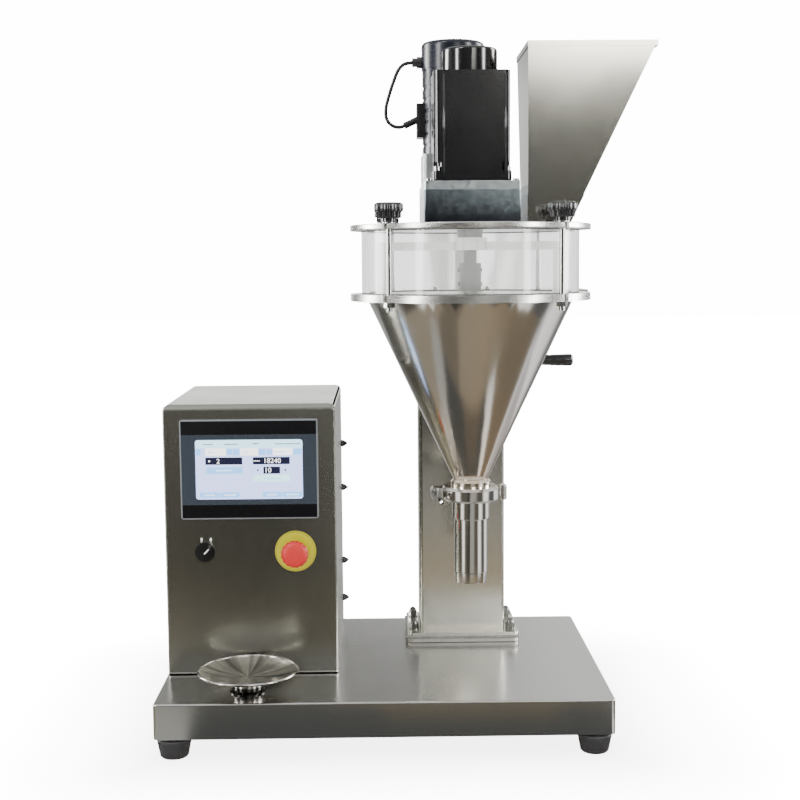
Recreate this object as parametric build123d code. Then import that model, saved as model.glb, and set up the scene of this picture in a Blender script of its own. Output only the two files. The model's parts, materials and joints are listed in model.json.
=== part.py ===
from build123d import *
import math
import os

# Auger powder filler: a bench machine that drops weighed powder through a vertical auger.
# Millimetres, +Z up. The floor is z = 0, x = 0 is the middle of the base and y = 0 its front edge
# while the pieces are built. At the end everything is moved so that the origin is the middle of
# the bottom of the whole machine's box.

# Clearances
slide_gap = 0.2
running_gap = 0.05
seat_gap = 0.3
panel_gap = 0.5

# Base box and feet
base_width = 640.0
base_depth = 438.0
base_height = 50.0
base_wall = 2.0
base_corner = 6.0
base_fold = 2.5
base_lip = 16.0
bottom_plate_thickness = 1.5
bottom_plate_inset = 3.0
foot_height = 27.0
foot_top_radius = 24.5
foot_low_radius = 20.0
foot_round = 2.0
foot_washer_radius = 18.0
foot_washer_thickness = 3.0
foot_inset_x = 25.5
foot_inset_y = 25.5
foot_bolt_radius = 4.0
foot_bolt_head_radius = 7.0
foot_bolt_head_height = 5.0
foot_recess_radius = 9.0
foot_recess_depth = 12.0
foot_bolt_tail = 8.0

base_top = foot_height + foot_washer_thickness + bottom_plate_thickness + base_height
base_bottom = base_top - base_height

# Control cabinet
cabinet_width = 250.0
cabinet_depth = 302.0
cabinet_height = 400.0
cabinet_wall = 1.5
cabinet_corner = 3.0
cabinet_fold = 9.0
cabinet_lip = 12.0
cable_way_radius = 30.0
cabinet_left = -base_width / 2 + 2.0
cabinet_right = cabinet_left + cabinet_width
cabinet_back = base_depth - 2.0
cabinet_front = cabinet_back - cabinet_depth
cabinet_middle = (cabinet_left + cabinet_right) / 2
rear_cover_thickness = 1.5
rear_cover_gap = 2.0
side_bolt_radius = 6.0
side_bolt_height = 8.0
side_bolt_shank = 3.0
side_bolt_back = 14.0
side_bolt_heights = (41.0, 105.0, 229.0, 303.0)
dome_steps = ((1.0, 0.4), (0.65, 0.8), (0.25, 1.0))
cover_screw_radius = 3.5
cover_screw_height = 2.2
cover_screw_inset = 8.0
cover_screw_shank = 2.0

# Touch panel
panel_width = 200.0
panel_height = 146.0
panel_lip = 6.0
panel_corner = 4.0
panel_edge = 1.5
panel_centre_height = 306.0
panel_body_width = 190.0
panel_body_height = 136.0
panel_body_depth = 32.0
screen_width = 155.0
screen_height = 87.0
screen_recess = 1.5
screen_thickness = 1.1

# Switches on the front
switch_height = 184.0
switch_thread_radius = 11.0
switch_bezel_radius = 14.5
switch_bezel_thickness = 3.0
switch_nut_radius = 14.0
switch_nut_thickness = 4.0
switch_block_width = 29.0
switch_block_height = 40.0
switch_block_depth = 38.0
switch_bore_depth = 12.0
selector_x = cabinet_left + 58.0
selector_knob_radius = 11.5
selector_knob_thickness = 3.0
selector_bar_width = 8.0
selector_bar_height = 12.0
selector_stem_radius = 6.0
selector_turn = 45.0
estop_x = cabinet_right - 60.0
estop_ring_radius = 30.0
estop_ring_thickness = 1.2
estop_collar_radius = 14.0
estop_collar_height = 8.0
estop_stem_radius = 8.0
estop_travel = 4.0
mushroom_radius = 20.0
mushroom_height = 17.0
mushroom_neck_radius = 13.0
mushroom_rim_low = 6.5
mushroom_rim_high = 10.5
mushroom_notch_count = 16
mushroom_notch_radius = 1.6

# Cabinet contents
back_plate_thickness = 2.0
back_plate_margin = 22.0
back_plate_stand = 14.0
drive_width = 60.0
drive_depth = 120.0
drive_height = 160.0
drive_inset = 12.0
drive_rise = 120.0
drive_ribs = 8
drive_rib_depth = 8.0
drive_rib_thickness = 3.0
supply_width = 98.0
supply_depth = 42.0
supply_height = 200.0
supply_inset = 8.0
supply_rise = 110.0
inlet_width = 48.0
inlet_height = 28.0
inlet_depth = 24.0
inlet_flange = 3.0
inlet_z = 60.0
inlet_pin = 2.0
gland_radius = 11.0
gland_length = 18.0
gland_bore_radius = 4.0
gland_nut_radius = 13.0
gland_nut_thickness = 5.0
gland_z = 330.0

# Dish
dish_x = cabinet_middle
dish_y = 55.5
dish_radius = 71.5
dish_foot_radius = 26.0
dish_height = 32.0
dish_rim_radius = 1.6
dish_under = ((26.0, 1.5), (20.0, 4.0), (20.0, 16.0), (32.0, 19.6), (51.0, 22.6), (63.0, 25.8))
dish_inside = ((62.0, 27.5), (50.0, 24.5), (30.0, 22.0), (0.0, 21.0))

# Column
column_x = 126.0
column_y = 350.0
column_width = 136.0
column_depth = 80.0
column_wall = 5.0
column_corner = 6.0
column_height = 536.0
column_cap_thickness = 3.0
plate_width = 176.0
plate_depth = 130.0
plate_thickness = 8.0
plate_corner = 8.0
column_bolt_radius = 4.0
column_bolt_spacing_x = 155.0
column_bolt_spacing_y = 76.0
column_washer_radius = 8.0
column_washer_thickness = 1.6
hex_flats = 13.0
hex_height = 6.5
acorn_height = 14.0
stiffener_thickness = 6.0

# Lift
lift_travel = 150.0
post_width = 112.0
post_depth = 30.0
post_wall = 4.0
post_front_gap = 2.6
post_length = 380.0
guide_height = 34.0
guide_drop = 44.0
post_guide_height = 40.0
rack_module = 1.5
rack_width = 14.0
rack_depth = 9.0
rack_below = lift_travel + 25.0
rack_above = 20.0
pinion_teeth = 18
pinion_width = 20.0
gear_backlash = 0.2
crank_drop = 28.0
shaft_radius = 6.0
bush_radius = 9.0
bush_flange_radius = 12.5
bush_flange_thickness = 3.0
shaft_collar_radius = 11.0
shaft_collar_width = 8.0
crank_arm_length = 65.0
crank_arm_thickness = 8.0
crank_hub_radius = 13.0
crank_end_radius = 11.0
crank_arm_x = 238.0
grip_length = 64.0
grip_root_radius = 8.0
grip_tip_radius = 9.8
grip_root_length = 4.0
grip_tip_length = 10.0
grip_end_bevel = 3.0
grip_pin_radius = 4.0
grip_pin_head_radius = 6.0
grip_pin_head_height = 3.0
lock_z = 505.0
lock_stem_radius = 5.0
lock_boss_radius = 10.0
lock_boss_length = 8.0
lock_knob_radius = 16.0
lock_knob_height = 15.0
lock_neck_radius = 9.0
lock_neck_length = 8.0
lock_lobes = 7
lock_lobe_radius = 3.2

# Filling nozzle, from its tip up
nozzle_clearance = 138.5
tube_inner_radius = 22.85
tip_radius = 23.5
tip_length = 15.5
tube_radius = 24.35
tube_length = 78.0
collar_radius = 27.4
collar_length = 36.0
ferrule_radius = 32.0
ferrule_rim = 3.0
ferrule_slope = 1.4
gasket_thickness = 2.0
clamp_radius = 42.0
clamp_height = 20.5
clamp_bore_radius = 29.4
clamp_split = 2.0
clamp_lug_width = 16.0
clamp_lug_thickness = 9.0
clamp_lug_corner = 5.0
clamp_bevel = 3.5
clamp_bolt_radius = 3.5
clamp_bolt_reach = 34.0
clamp_pin_radius = 3.0
clamp_head_height = 4.0
wing_hub_radius = 7.0
wing_hub_length = 10.0
wing_span = 31.0
wing_height = 20.0
wing_root = 5.0
wing_thickness = 4.0
wing_turn = 55.0

# Hopper
hopper_y = 130.0
neck_radius = 28.8
cone_neck_length = 17.25
cone_low_radius = 25.5
cone_top_radius = 146.5
cone_height = 261.3
cone_wall = 2.0
flange_radius = 171.0
flange_thickness = 10.0
ring_radius = 155.0
ring_wall = 8.0
ring_height = 85.5
ring_gasket = 1.5
cover_thickness = 8.0
cover_edge = 1.5
tail_left = 24.0
tail_right = 322.0
tail_back = 385.0
tail_front = 285.0
tail_reach = 88.0
tail_screw_spacing_x = 90.0
tail_screw_spacing_y = 46.0
head_plate_width = 124.0
head_plate_depth = 66.0
head_plate_thickness = 8.0
rod_circle_radius = 163.0
rod_angle = 45.6
rod_radius = 4.0
rod_slot_radius = 4.6
rod_tail = 12.0
rod_nut_flats = 13.0
rod_nut_height = 6.5
knob_washer_radius = 9.5
knob_washer_thickness = 1.5
knob_low_radius = 10.5
knob_low_height = 12.5
knob_top_radius = 20.0
knob_top_height = 13.5
knob_crown = 2.0
knob_flutes = 18
knob_flute_radius = 1.9
knob_bore_depth = 18.0

# Gearbox
gearbox_width = 134.0
gearbox_front = 66.0
gearbox_back = 298.0
gearbox_height = 47.0
gearbox_wall = 6.0
gearbox_floor = 8.0
gearbox_corner = 3.0
gearbox_lid = 12.0
gear_module = 2.0
agitator_teeth = 54
agitator_pinion_teeth = 50
gear_width = 16.0
bearing_radius = 31.0
bearing_race = 5.0
bearing_width = 13.0
bearing_land = 4.0
bearing_ball_band = 6.0
hollow_radius = 18.0
hollow_bore = 12.0
hollow_drop = 10.0
lid_screw_radius = 4.5
lid_screw_height = 3.0
lid_screw_inset = 7.0

# Auger drive
motor_flange = 110.0
motor_flange_thickness = 14.0
motor_body = 106.0
motor_height = 151.0
motor_corner = 8.0
motor_groove_radius = 5.0
encoder_radius = 39.0
encoder_height = 35.0
encoder_round = 4.0
motor_screw_spacing = 97.0
motor_screw_radius = 4.75
motor_notch_radius = 11.6
motor_screw_height = 6.0
motor_notch_height = 12.0
drive_shaft_radius = 9.5
drive_shaft_drop = 38.0
coupling_radius = 16.0
coupling_length = 40.0
coupling_pin_radius = 2.5

# Auger
auger_radius = 22.25
auger_shaft_radius = 9.0
auger_pitch = 45.0
auger_flight = 2.0
auger_flight_height = 205.0
auger_tip_rise = 2.5

# Agitator frame
agitator_hub_radius = 24.0
agitator_hub_height = 18.0
agitator_bar = 12.0
agitator_blade = 14.0
agitator_thickness = 5.0
agitator_wall_gap = 7.0
agitator_low_rise = 40.0

# Agitator drive
agitator_motor_offset = 18.0
agitator_motor_radius = 45.5
gearhead_width = 94.0
gearhead_height = 46.0
gearhead_corner = 7.0
agitator_motor_height = 125.0
agitator_cap_radius = 46.5
agitator_cap_height = 40.0
agitator_cap_round = 6.0
agitator_groove_count = 6
agitator_groove_depth = 1.2
agitator_groove_width = 5.0
agitator_groove_start = 12.0
agitator_shaft_radius = 7.5
terminal_depth = 9.0
terminal_width = 34.0
terminal_height = 50.0
terminal_z = 811.0
motor_gland_z = 897.0
motor_gland_radius = 8.5
motor_gland_length = 14.0
lead_sleeve_z = 813.0
lead_sleeve_radius = 5.0
lead_sleeve_length = 20.0
lead_sleeve_slope = 25.0
lead_radius = 2.8
lead_grip = 6.0
# Corners of the lead between its two grips: millimetres left of the gland's mouth, and below it
lead_route = ((7.0, 0.0), (15.6, 4.2), (22.2, 13.4), (26.8, 25.5), (31.8, 39.5), (36.0, 53.0), (39.5, 66.5),
              (39.5, 80.0), (34.8, 88.6), (26.4, 93.9), (16.5, 94.6))

# Inlet chute
chute_left = 205.5
chute_low_right = 264.0
chute_top_right = 384.0
chute_front = 80.0
chute_low_back = 172.0
chute_top_back = 235.0
chute_height = 249.0
chute_wall = 1.5
chute_hem_height = 8.0
chute_band = 40.0
chute_band_step = 0.8

# Heights and places that follow
hopper_x = column_x + 2.0
tip_low = base_top + nozzle_clearance
tip_high = tip_low + tip_length
tube_high = tip_high + tube_length
collar_high = tube_high + collar_length
gasket_high = collar_high + gasket_thickness
cone_low = gasket_high + cone_neck_length
plate_low = cone_low + cone_height
plate_high = plate_low + flange_thickness
ring_low = plate_high + ring_gasket
ring_high = ring_low + ring_height
cover_low = ring_high + ring_gasket
cover_high = cover_low + cover_thickness
lid_low = cover_high + gearbox_height
lid_high = lid_low + gearbox_lid
column_low = base_top + 2 * plate_thickness
column_high = base_top + column_height
crank_z = column_high - crank_drop
post_high = plate_low - head_plate_thickness
post_low = post_high - post_length
post_front = column_y - column_depth / 2 + column_wall + post_front_gap
post_back = post_front + post_depth
rack_line = post_back + rack_depth - rack_module
pinion_radius = rack_module * pinion_teeth / 2
crank_y = rack_line + pinion_radius
agitator_gear_radius = gear_module * agitator_teeth / 2
agitator_pinion_radius = gear_module * agitator_pinion_teeth / 2
pinion_y = hopper_y + agitator_gear_radius + agitator_pinion_radius
agitator_motor_x = hopper_x - agitator_motor_offset
gear_low = cover_high + gearbox_floor + bearing_width - bearing_land + 1.0
gear_high = gear_low + gear_width
agitator_motor_low = lid_high + gearhead_height
agitator_cap_low = agitator_motor_low + agitator_motor_height

UPRIGHT = (Align.CENTER, Align.CENTER, Align.MIN)


# Small shapes that the pieces share
def rod_z(radius, low, high, x=0.0, y=0.0):
    return Pos(x, y, low) * Cylinder(radius, high - low, align=UPRIGHT)


def rod_x(radius, start, end, y, z):
    return Pos(start, y, z) * Rot(0, 90, 0) * Cylinder(radius, end - start, align=UPRIGHT)


def rod_y(radius, start, end, x, z):
    return Pos(x, start, z) * Rot(-90, 0, 0) * Cylinder(radius, end - start, align=UPRIGHT)


def pipe_z(outer, inner, low, high, x=0.0, y=0.0):
    return rod_z(outer, low, high, x, y) - rod_z(inner, low - 1, high + 1, x, y)


def block(left, right, front, back, low, high):
    size = Box(right - left, back - front, high - low, align=(Align.MIN, Align.MIN, Align.MIN))
    return Pos(left, front, low) * size


def rounded_block(width, depth, corner, low, high, x, y):
    return Pos(x, y, low) * extrude(RectangleRounded(width, depth, corner), high - low)


def hex_prism(flats, low, high, x, y):
    outline = RegularPolygon(flats / 2, 6, major_radius=False)
    return Pos(x, y, low) * extrude(outline, high - low)


def turned(points, x=0.0, y=0.0):
    # A body of revolution about an upright axis, from (radius, height) points
    outline = Plane.XZ * make_face(Polyline(*points, close=True))
    return Pos(x, y, 0) * revolve(outline, Axis.Z)


def corners(spacing_x, spacing_y, x, y):
    return [(x + i * spacing_x / 2, y + j * spacing_y / 2) for i in (-1, 1) for j in (-1, 1)]


def group(solids):
    return Compound([solid for piece in solids for solid in piece.solids()])


def acorn_nut(flats, height, bore, low, x, y):
    # Hexagon below, dome above, blind hole for the bolt's end
    skirt = height * 0.5
    dome = flats / 2
    crown = turned([(0, low), (dome, low), (dome, low + skirt), (dome * 0.8, low + height * 0.8),
                    (dome * 0.4, low + height), (0, low + height)], x, y)
    return hex_prism(flats, low, low + skirt, x, y) + crown - rod_z(bore, low - 1, low + height * 0.7, x, y)


def involute_angle(pressure):
    return math.tan(pressure) - pressure


def gear_outline(module, teeth, first_angle):
    # Closed outline of a spur gear, one tooth centred on first_angle in degrees
    pressure = math.radians(20)
    pitch = module * teeth / 2
    base = pitch * math.cos(pressure)
    half_tooth = math.pi / (2 * teeth) - gear_backlash / (4 * pitch)
    outer = pitch + module
    root = pitch - 1.25 * module
    start = max(base, root)
    radii = [start, pitch, outer]
    half_angles = [half_tooth + involute_angle(pressure) - involute_angle(math.acos(base / radius))
                   for radius in radii]
    flank = list(zip(radii, half_angles))
    if start > root:
        flank.insert(0, (root, half_angles[0]))
    points = []
    for tooth in range(teeth):
        middle = math.radians(first_angle) + 2 * math.pi * tooth / teeth
        for radius, half in flank:
            points.append((radius * math.cos(middle - half), radius * math.sin(middle - half)))
        for radius, half in reversed(flank):
            points.append((radius * math.cos(middle + half), radius * math.sin(middle + half)))
    return make_face(Polyline(*points, close=True))


def fluted_disc(radius, flute_radius, count, low, high, x, y):
    # A hand knob's tier: a round disc with flutes cut all round its edge
    disc = rod_z(radius, low, high, x, y)
    cuts = [Pos(x, y, 0) * Rot(0, 0, 360 / count * i) * rod_z(flute_radius, low - 1, high + 1, radius + 0.4)
            for i in range(count)]
    return disc - cuts


# Base
def foot_places():
    return corners(base_width - 2 * foot_inset_x, base_depth - 2 * foot_inset_y, 0, base_depth / 2)


def column_bolt_places():
    return corners(column_bolt_spacing_x, column_bolt_spacing_y, column_x, column_y)


def base_housing():
    middle_y = base_depth / 2
    outer = rounded_block(base_width, base_depth, base_corner, base_bottom, base_top, 0, middle_y)
    outer = fillet(outer.faces().sort_by(Axis.Z)[-1].edges(), base_fold)
    inner_corner = base_corner - base_wall
    inner = rounded_block(base_width - 2 * base_wall, base_depth - 2 * base_wall, inner_corner,
                          base_bottom + base_wall, base_top - base_wall, 0, middle_y)
    mouth = rounded_block(base_width - 2 * base_lip, base_depth - 2 * base_lip, base_corner,
                          base_bottom - 1, base_bottom + base_wall + 1, 0, middle_y)
    shell = outer - inner - mouth
    for x, y in column_bolt_places():
        shell -= rod_z(column_bolt_radius + running_gap, base_top - base_wall - 1, base_top + 1, x, y)
    for x, y in foot_places():
        corner_pad = block(x - foot_washer_radius, x + foot_washer_radius, y - foot_washer_radius,
                           y + foot_washer_radius, base_bottom, base_bottom + base_wall)
        shell += corner_pad
        shell -= rod_z(foot_bolt_radius + running_gap, base_bottom - 1, base_bottom + base_wall + 1, x, y)
    return shell - cable_way(base_top - base_wall - 1, base_top + 1)


def cable_way(low, high):
    # The opening between the cabinet and the base for the wiring
    return rod_z(cable_way_radius, low, high, cabinet_middle, cabinet_back - cabinet_depth / 3)


def base_bottom_plate():
    inset = 2 * bottom_plate_inset
    plate = rounded_block(base_width - inset, base_depth - inset, base_corner,
                          base_bottom - bottom_plate_thickness, base_bottom, 0, base_depth / 2)
    for x, y in foot_places():
        plate -= rod_z(foot_bolt_radius + running_gap, base_bottom - bottom_plate_thickness - 1,
                       base_bottom + 1, x, y)
    return plate


def rubber_foot(x, y):
    shoulder = foot_height - foot_round
    body = turned([(0, 0), (foot_low_radius - foot_round, 0), (foot_low_radius, foot_round),
                   (foot_top_radius, shoulder), (foot_top_radius - foot_round / 2, foot_height),
                   (0, foot_height)], x, y)
    recess = rod_z(foot_recess_radius, -1, foot_recess_depth, x, y)
    return body - recess - rod_z(foot_bolt_radius + running_gap, 0, foot_height + 1, x, y)


def foot_washer(x, y):
    return pipe_z(foot_washer_radius, foot_bolt_radius + running_gap, foot_height,
                  foot_height + foot_washer_thickness, x, y)


def foot_bolt(x, y):
    head_low = foot_recess_depth - foot_bolt_head_height
    head = rod_z(foot_bolt_head_radius, head_low, foot_recess_depth, x, y)
    return head + rod_z(foot_bolt_radius, head_low, base_bottom + foot_bolt_tail, x, y)


def foot_nut(x, y):
    low = base_bottom + base_wall
    nut = hex_prism(hex_flats, low, low + foot_bolt_tail - base_wall, x, y)
    return nut - rod_z(foot_bolt_radius + running_gap, low - 1, low + foot_bolt_tail, x, y)


# Column and its plates
def drilled_plate(low, thickness):
    plate = rounded_block(plate_width, plate_depth, plate_corner, low, low + thickness, column_x, column_y)
    for x, y in column_bolt_places():
        plate -= rod_z(column_bolt_radius + running_gap, low - 1, low + thickness + 1, x, y)
    return plate


def column_stiffener():
    return drilled_plate(base_top - base_wall - stiffener_thickness, stiffener_thickness)


def base_mount_plate():
    return drilled_plate(base_top, plate_thickness)


def column_flange():
    return drilled_plate(base_top + plate_thickness, plate_thickness)


def column_inside(low, high):
    return rounded_block(column_width - 2 * column_wall, column_depth - 2 * column_wall,
                         column_corner - column_wall / 2, low, high, column_x, column_y)


def column_tube():
    tube = rounded_block(column_width, column_depth, column_corner, column_low, column_high,
                         column_x, column_y)
    tube -= column_inside(column_low - 1, column_high + 1)
    left = column_x - column_width / 2
    tube -= rod_x(bush_radius, left - 1, left + column_width + 1, crank_y, crank_z)
    return tube - rod_x(lock_stem_radius + running_gap, left - 1, left + column_wall + 1,
                        post_front + post_depth / 2, base_top + lock_z)


def column_cap():
    cap = rounded_block(column_width, column_depth, column_corner, column_high,
                        column_high + column_cap_thickness, column_x, column_y)
    post_hole = block(column_x - post_width / 2 - slide_gap, column_x + post_width / 2 + slide_gap,
                      post_front - slide_gap, post_back + slide_gap, column_high - 1,
                      column_high + column_cap_thickness + 1)
    rack_hole = block(column_x - rack_width / 2 - slide_gap, column_x + rack_width / 2 + slide_gap,
                      post_front, post_back + rack_depth + slide_gap, column_high - 1,
                      column_high + column_cap_thickness + 1)
    return cap - post_hole - rack_hole


def column_bolt(x, y):
    head_high = base_top - base_wall - stiffener_thickness
    head = hex_prism(hex_flats, head_high - hex_height, head_high, x, y)
    end = column_low + column_washer_thickness + acorn_height * 0.6
    return head + rod_z(column_bolt_radius, head_high - 1, end, x, y)


def column_washer(x, y):
    return pipe_z(column_washer_radius, column_bolt_radius + running_gap, column_low,
                  column_low + column_washer_thickness, x, y)


def column_nut(x, y):
    return acorn_nut(hex_flats, acorn_height, column_bolt_radius + running_gap,
                     column_low + column_washer_thickness, x, y)


# Lift
def lift_post():
    # Rectangular tube with a plate on top that carries the hopper plate
    middle = post_front + post_depth / 2
    outer = rounded_block(post_width, post_depth, 3.0, post_low, post_high, column_x, middle)
    inner = rounded_block(post_width - 2 * post_wall, post_depth - 2 * post_wall, 1.0,
                          post_low - 1, post_high - head_plate_thickness, column_x, middle)
    plate = rounded_block(head_plate_width, head_plate_depth, 4.0, post_high, plate_low, column_x, column_y)
    for x, y in tail_screw_places():
        plate -= rod_z(foot_bolt_radius, post_high - 1, plate_low + 1, x, y)
    return outer - inner + plate


def lift_rack():
    # Toothed bar on the post's back, gap centred on the pinion's height
    pitch = math.pi * rack_module
    slope = math.tan(math.radians(20))
    half = pitch / 4 - gear_backlash / 4
    back = post_back + rack_depth
    root = rack_line - 1.25 * rack_module
    bottom = crank_z - rack_below
    top = crank_z + rack_above
    first = math.ceil((bottom - crank_z) / pitch) + 1
    last = math.floor((top - crank_z) / pitch) - 1
    points = [(post_back, bottom), (root, bottom)]
    for index in range(first, last + 1):
        middle = crank_z + (index + 0.5) * pitch
        if middle + half + rack_module > top:
            break
        low_half = half + 1.25 * rack_module * slope
        high_half = half - rack_module * slope
        points += [(root, middle - low_half), (back, middle - high_half),
                   (back, middle + high_half), (root, middle + low_half)]
    points += [(root, top), (post_back, top)]
    outline = Plane.YZ * make_face(Polyline(*points, close=True))
    return Pos(column_x - rack_width / 2, 0, 0) * extrude(outline, rack_width)


def guide_block(low, high, inner_gap, outer_gap):
    # Slippery ring between the post and the column
    width = column_width - 2 * column_wall - 2 * outer_gap
    depth = column_depth - 2 * column_wall - 2 * outer_gap
    body = rounded_block(width, depth, column_corner - column_wall / 2, low, high, column_x, column_y)
    post_hole = block(column_x - post_width / 2 - inner_gap, column_x + post_width / 2 + inner_gap,
                      post_front - inner_gap, post_back + inner_gap, low - 1, high + 1)
    rack_hole = block(column_x - rack_width / 2 - 1, column_x + rack_width / 2 + 1, post_front,
                      post_back + rack_depth + 1, low - 1, high + 1)
    return body - post_hole - rack_hole


def column_guide():
    top = column_high - guide_drop
    return guide_block(top - guide_height, top, slide_gap, 0)


def post_guide():
    return guide_block(post_low, post_low + post_guide_height, 0, slide_gap)


def crank_bush(side):
    wall_out = column_x + side * column_width / 2
    inner = wall_out - side * column_wall
    flange_out = wall_out + side * bush_flange_thickness
    start, end = sorted((inner, flange_out))
    flange_start, flange_end = sorted((wall_out, flange_out))
    bush = rod_x(bush_radius, start, end, crank_y, crank_z)
    bush += rod_x(bush_flange_radius, flange_start, flange_end, crank_y, crank_z)
    return bush - rod_x(shaft_radius + running_gap, start - 1, end + 1, crank_y, crank_z)


def crank_shaft():
    left = column_x - column_width / 2 - bush_flange_thickness - seat_gap - shaft_collar_width
    shaft = rod_x(shaft_radius, left, crank_arm_x + crank_arm_thickness, crank_y, crank_z)
    collar_right = column_x + column_width / 2 + bush_flange_thickness + seat_gap
    return shaft + rod_x(shaft_collar_radius, collar_right, collar_right + shaft_collar_width / 2,
                         crank_y, crank_z)


def crank_collar():
    right = column_x - column_width / 2 - bush_flange_thickness - seat_gap
    collar = rod_x(shaft_collar_radius, right - shaft_collar_width, right, crank_y, crank_z)
    return collar - rod_x(shaft_radius, right - shaft_collar_width - 1, right + 1, crank_y, crank_z)


def rack_pinion():
    # Pinion on the crank shaft, a tooth pointing at the rack
    outline = gear_outline(rack_module, pinion_teeth, 180)
    gear = extrude(outline, pinion_width)
    gear -= Cylinder(shaft_radius, 3 * pinion_width)
    return Pos(column_x - pinion_width / 2, crank_y, crank_z) * Plane.YZ.location * gear


def crank_arm():
    start = crank_arm_x
    end = crank_arm_x + crank_arm_thickness
    low = crank_z - crank_arm_length
    arm = rod_x(crank_hub_radius, start, end, crank_y, crank_z)
    arm += rod_x(crank_end_radius, start, end, crank_y, low)
    web = Polyline((crank_y - crank_hub_radius, crank_z), (crank_y - crank_end_radius, low),
                   (crank_y + crank_end_radius, low), (crank_y + crank_hub_radius, crank_z), close=True)
    arm += Pos(start, 0, 0) * extrude(Plane.YZ * make_face(web), crank_arm_thickness)
    arm -= rod_x(shaft_radius, start - 1, end + 1, crank_y, crank_z)
    return arm - rod_x(grip_pin_radius, start - 1, end + 1, crank_y, low)


def crank_grip_pin():
    low = crank_z - crank_arm_length
    start = crank_arm_x - grip_pin_head_height
    face = crank_arm_x + crank_arm_thickness
    head_start = face + seat_gap + grip_length - 2 * grip_pin_head_height
    pin = rod_x(grip_pin_radius, start, head_start, crank_y, low)
    pin += rod_x(grip_pin_head_radius, start, crank_arm_x, crank_y, low)
    head_end = head_start + grip_pin_head_height
    return pin + rod_x(grip_pin_head_radius - 1, head_start, head_end, crank_y, low)


def crank_grip():
    # Revolving handle, thicker towards its tip and hollow for the pin and its head
    low = crank_z - crank_arm_length
    start = crank_arm_x + crank_arm_thickness + seat_gap
    tip = grip_length - grip_tip_length
    profile = make_face(Polyline((0, 0), (grip_root_radius, 0), (grip_root_radius, grip_root_length),
                                 (grip_tip_radius, tip), (grip_tip_radius, grip_length - grip_end_bevel),
                                 (grip_tip_radius - grip_end_bevel, grip_length), (0, grip_length),
                                 close=True))
    body = revolve(Plane.XZ * profile, Axis.Z)
    bore_end = grip_length - 2 * grip_pin_head_height
    bore = Pos(0, 0, -1) * Cylinder(grip_pin_radius + running_gap, bore_end + 1, align=UPRIGHT)
    pocket = Pos(0, 0, bore_end - seat_gap) * Cylinder(
        grip_pin_head_radius - 1 + seat_gap, grip_pin_head_height + 2 * seat_gap, align=UPRIGHT)
    return Pos(start, crank_y, low) * Rot(0, 90, 0) * (body - bore - pocket)


def lock_boss():
    left = column_x - column_width / 2
    y = post_front + post_depth / 2
    boss = rod_x(lock_boss_radius, left - lock_boss_length, left, y, base_top + lock_z)
    return boss - rod_x(lock_stem_radius + running_gap, left - lock_boss_length - 1, left + 1, y,
                        base_top + lock_z)


def lock_knob():
    # Lobed knob whose screw presses on the post's side
    y = post_front + post_depth / 2
    tip = column_x - post_width / 2 - seat_gap
    neck_right = column_x - column_width / 2 - lock_boss_length - seat_gap
    neck_left = neck_right - lock_neck_length
    knob_left = neck_left - lock_knob_height
    z = base_top + lock_z
    knob = rod_x(lock_stem_radius, neck_left, tip, y, z)
    knob += rod_x(lock_neck_radius, neck_left, neck_right, y, z)
    wheel = rod_x(lock_knob_radius, knob_left, neck_left, y, z)
    for i in range(lock_lobes):
        angle = 2 * math.pi * i / lock_lobes
        wheel -= rod_x(lock_lobe_radius, knob_left - 1, neck_left + 1,
                       y + lock_knob_radius * math.cos(angle), z + lock_knob_radius * math.sin(angle))
    return knob + wheel


# Cabinet
def cabinet_shell():
    # Folded front, top and sides; the top front edge is a wide bend
    low = base_top
    high = base_top + cabinet_height
    middle_y = cabinet_front + cabinet_depth / 2
    outer = block(cabinet_left, cabinet_right, cabinet_front, cabinet_back, low, high)
    uprights = outer.edges().filter_by(Axis.Z).group_by(Axis.Y)[0]
    outer = fillet(uprights, cabinet_corner)
    top_front = outer.faces().sort_by(Axis.Z)[-1].edges().sort_by(Axis.Y)[0]
    outer = fillet(top_front, cabinet_fold)
    inner = rounded_block(cabinet_width - 2 * cabinet_wall, cabinet_depth - 2 * cabinet_wall,
                          cabinet_corner - cabinet_wall / 2, low + cabinet_wall, high - cabinet_wall,
                          cabinet_middle, middle_y)
    inner -= block(cabinet_left, cabinet_right, cabinet_front, cabinet_front + cabinet_fold,
                   high - cabinet_fold, high)
    inner += rod_x(cabinet_fold - cabinet_wall, cabinet_left + cabinet_wall + 1,
                   cabinet_right - cabinet_wall - 1, cabinet_front + cabinet_fold, high - cabinet_fold)
    mouth = block(cabinet_left + cabinet_lip, cabinet_right - cabinet_lip, cabinet_back - cabinet_lip,
                  cabinet_back + 1, low + cabinet_lip, high - cabinet_lip)
    shell = outer - inner - mouth
    panel_z = base_top + panel_centre_height
    shell -= block(cabinet_middle - panel_body_width / 2 - panel_gap,
                   cabinet_middle + panel_body_width / 2 + panel_gap, cabinet_front - 1,
                   cabinet_front + cabinet_wall + 1, panel_z - panel_body_height / 2 - panel_gap,
                   panel_z + panel_body_height / 2 + panel_gap)
    for x in (selector_x, estop_x):
        shell -= rod_y(switch_thread_radius + seat_gap, cabinet_front - 1, cabinet_front + cabinet_wall + 1,
                       x, base_top + switch_height)
    for z in side_bolt_heights:
        shell -= rod_x(side_bolt_shank + running_gap, cabinet_right - cabinet_wall - 1, cabinet_right + 1,
                       cabinet_back - side_bolt_back, base_top + z)
    for x, z in cover_screw_places():
        shell -= rod_y(cover_screw_shank + running_gap, cabinet_back - 2 * cabinet_wall,
                       cabinet_back + 1, x, z)
    return shell - cable_way(low - 1, low + cabinet_wall + 1)


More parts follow.
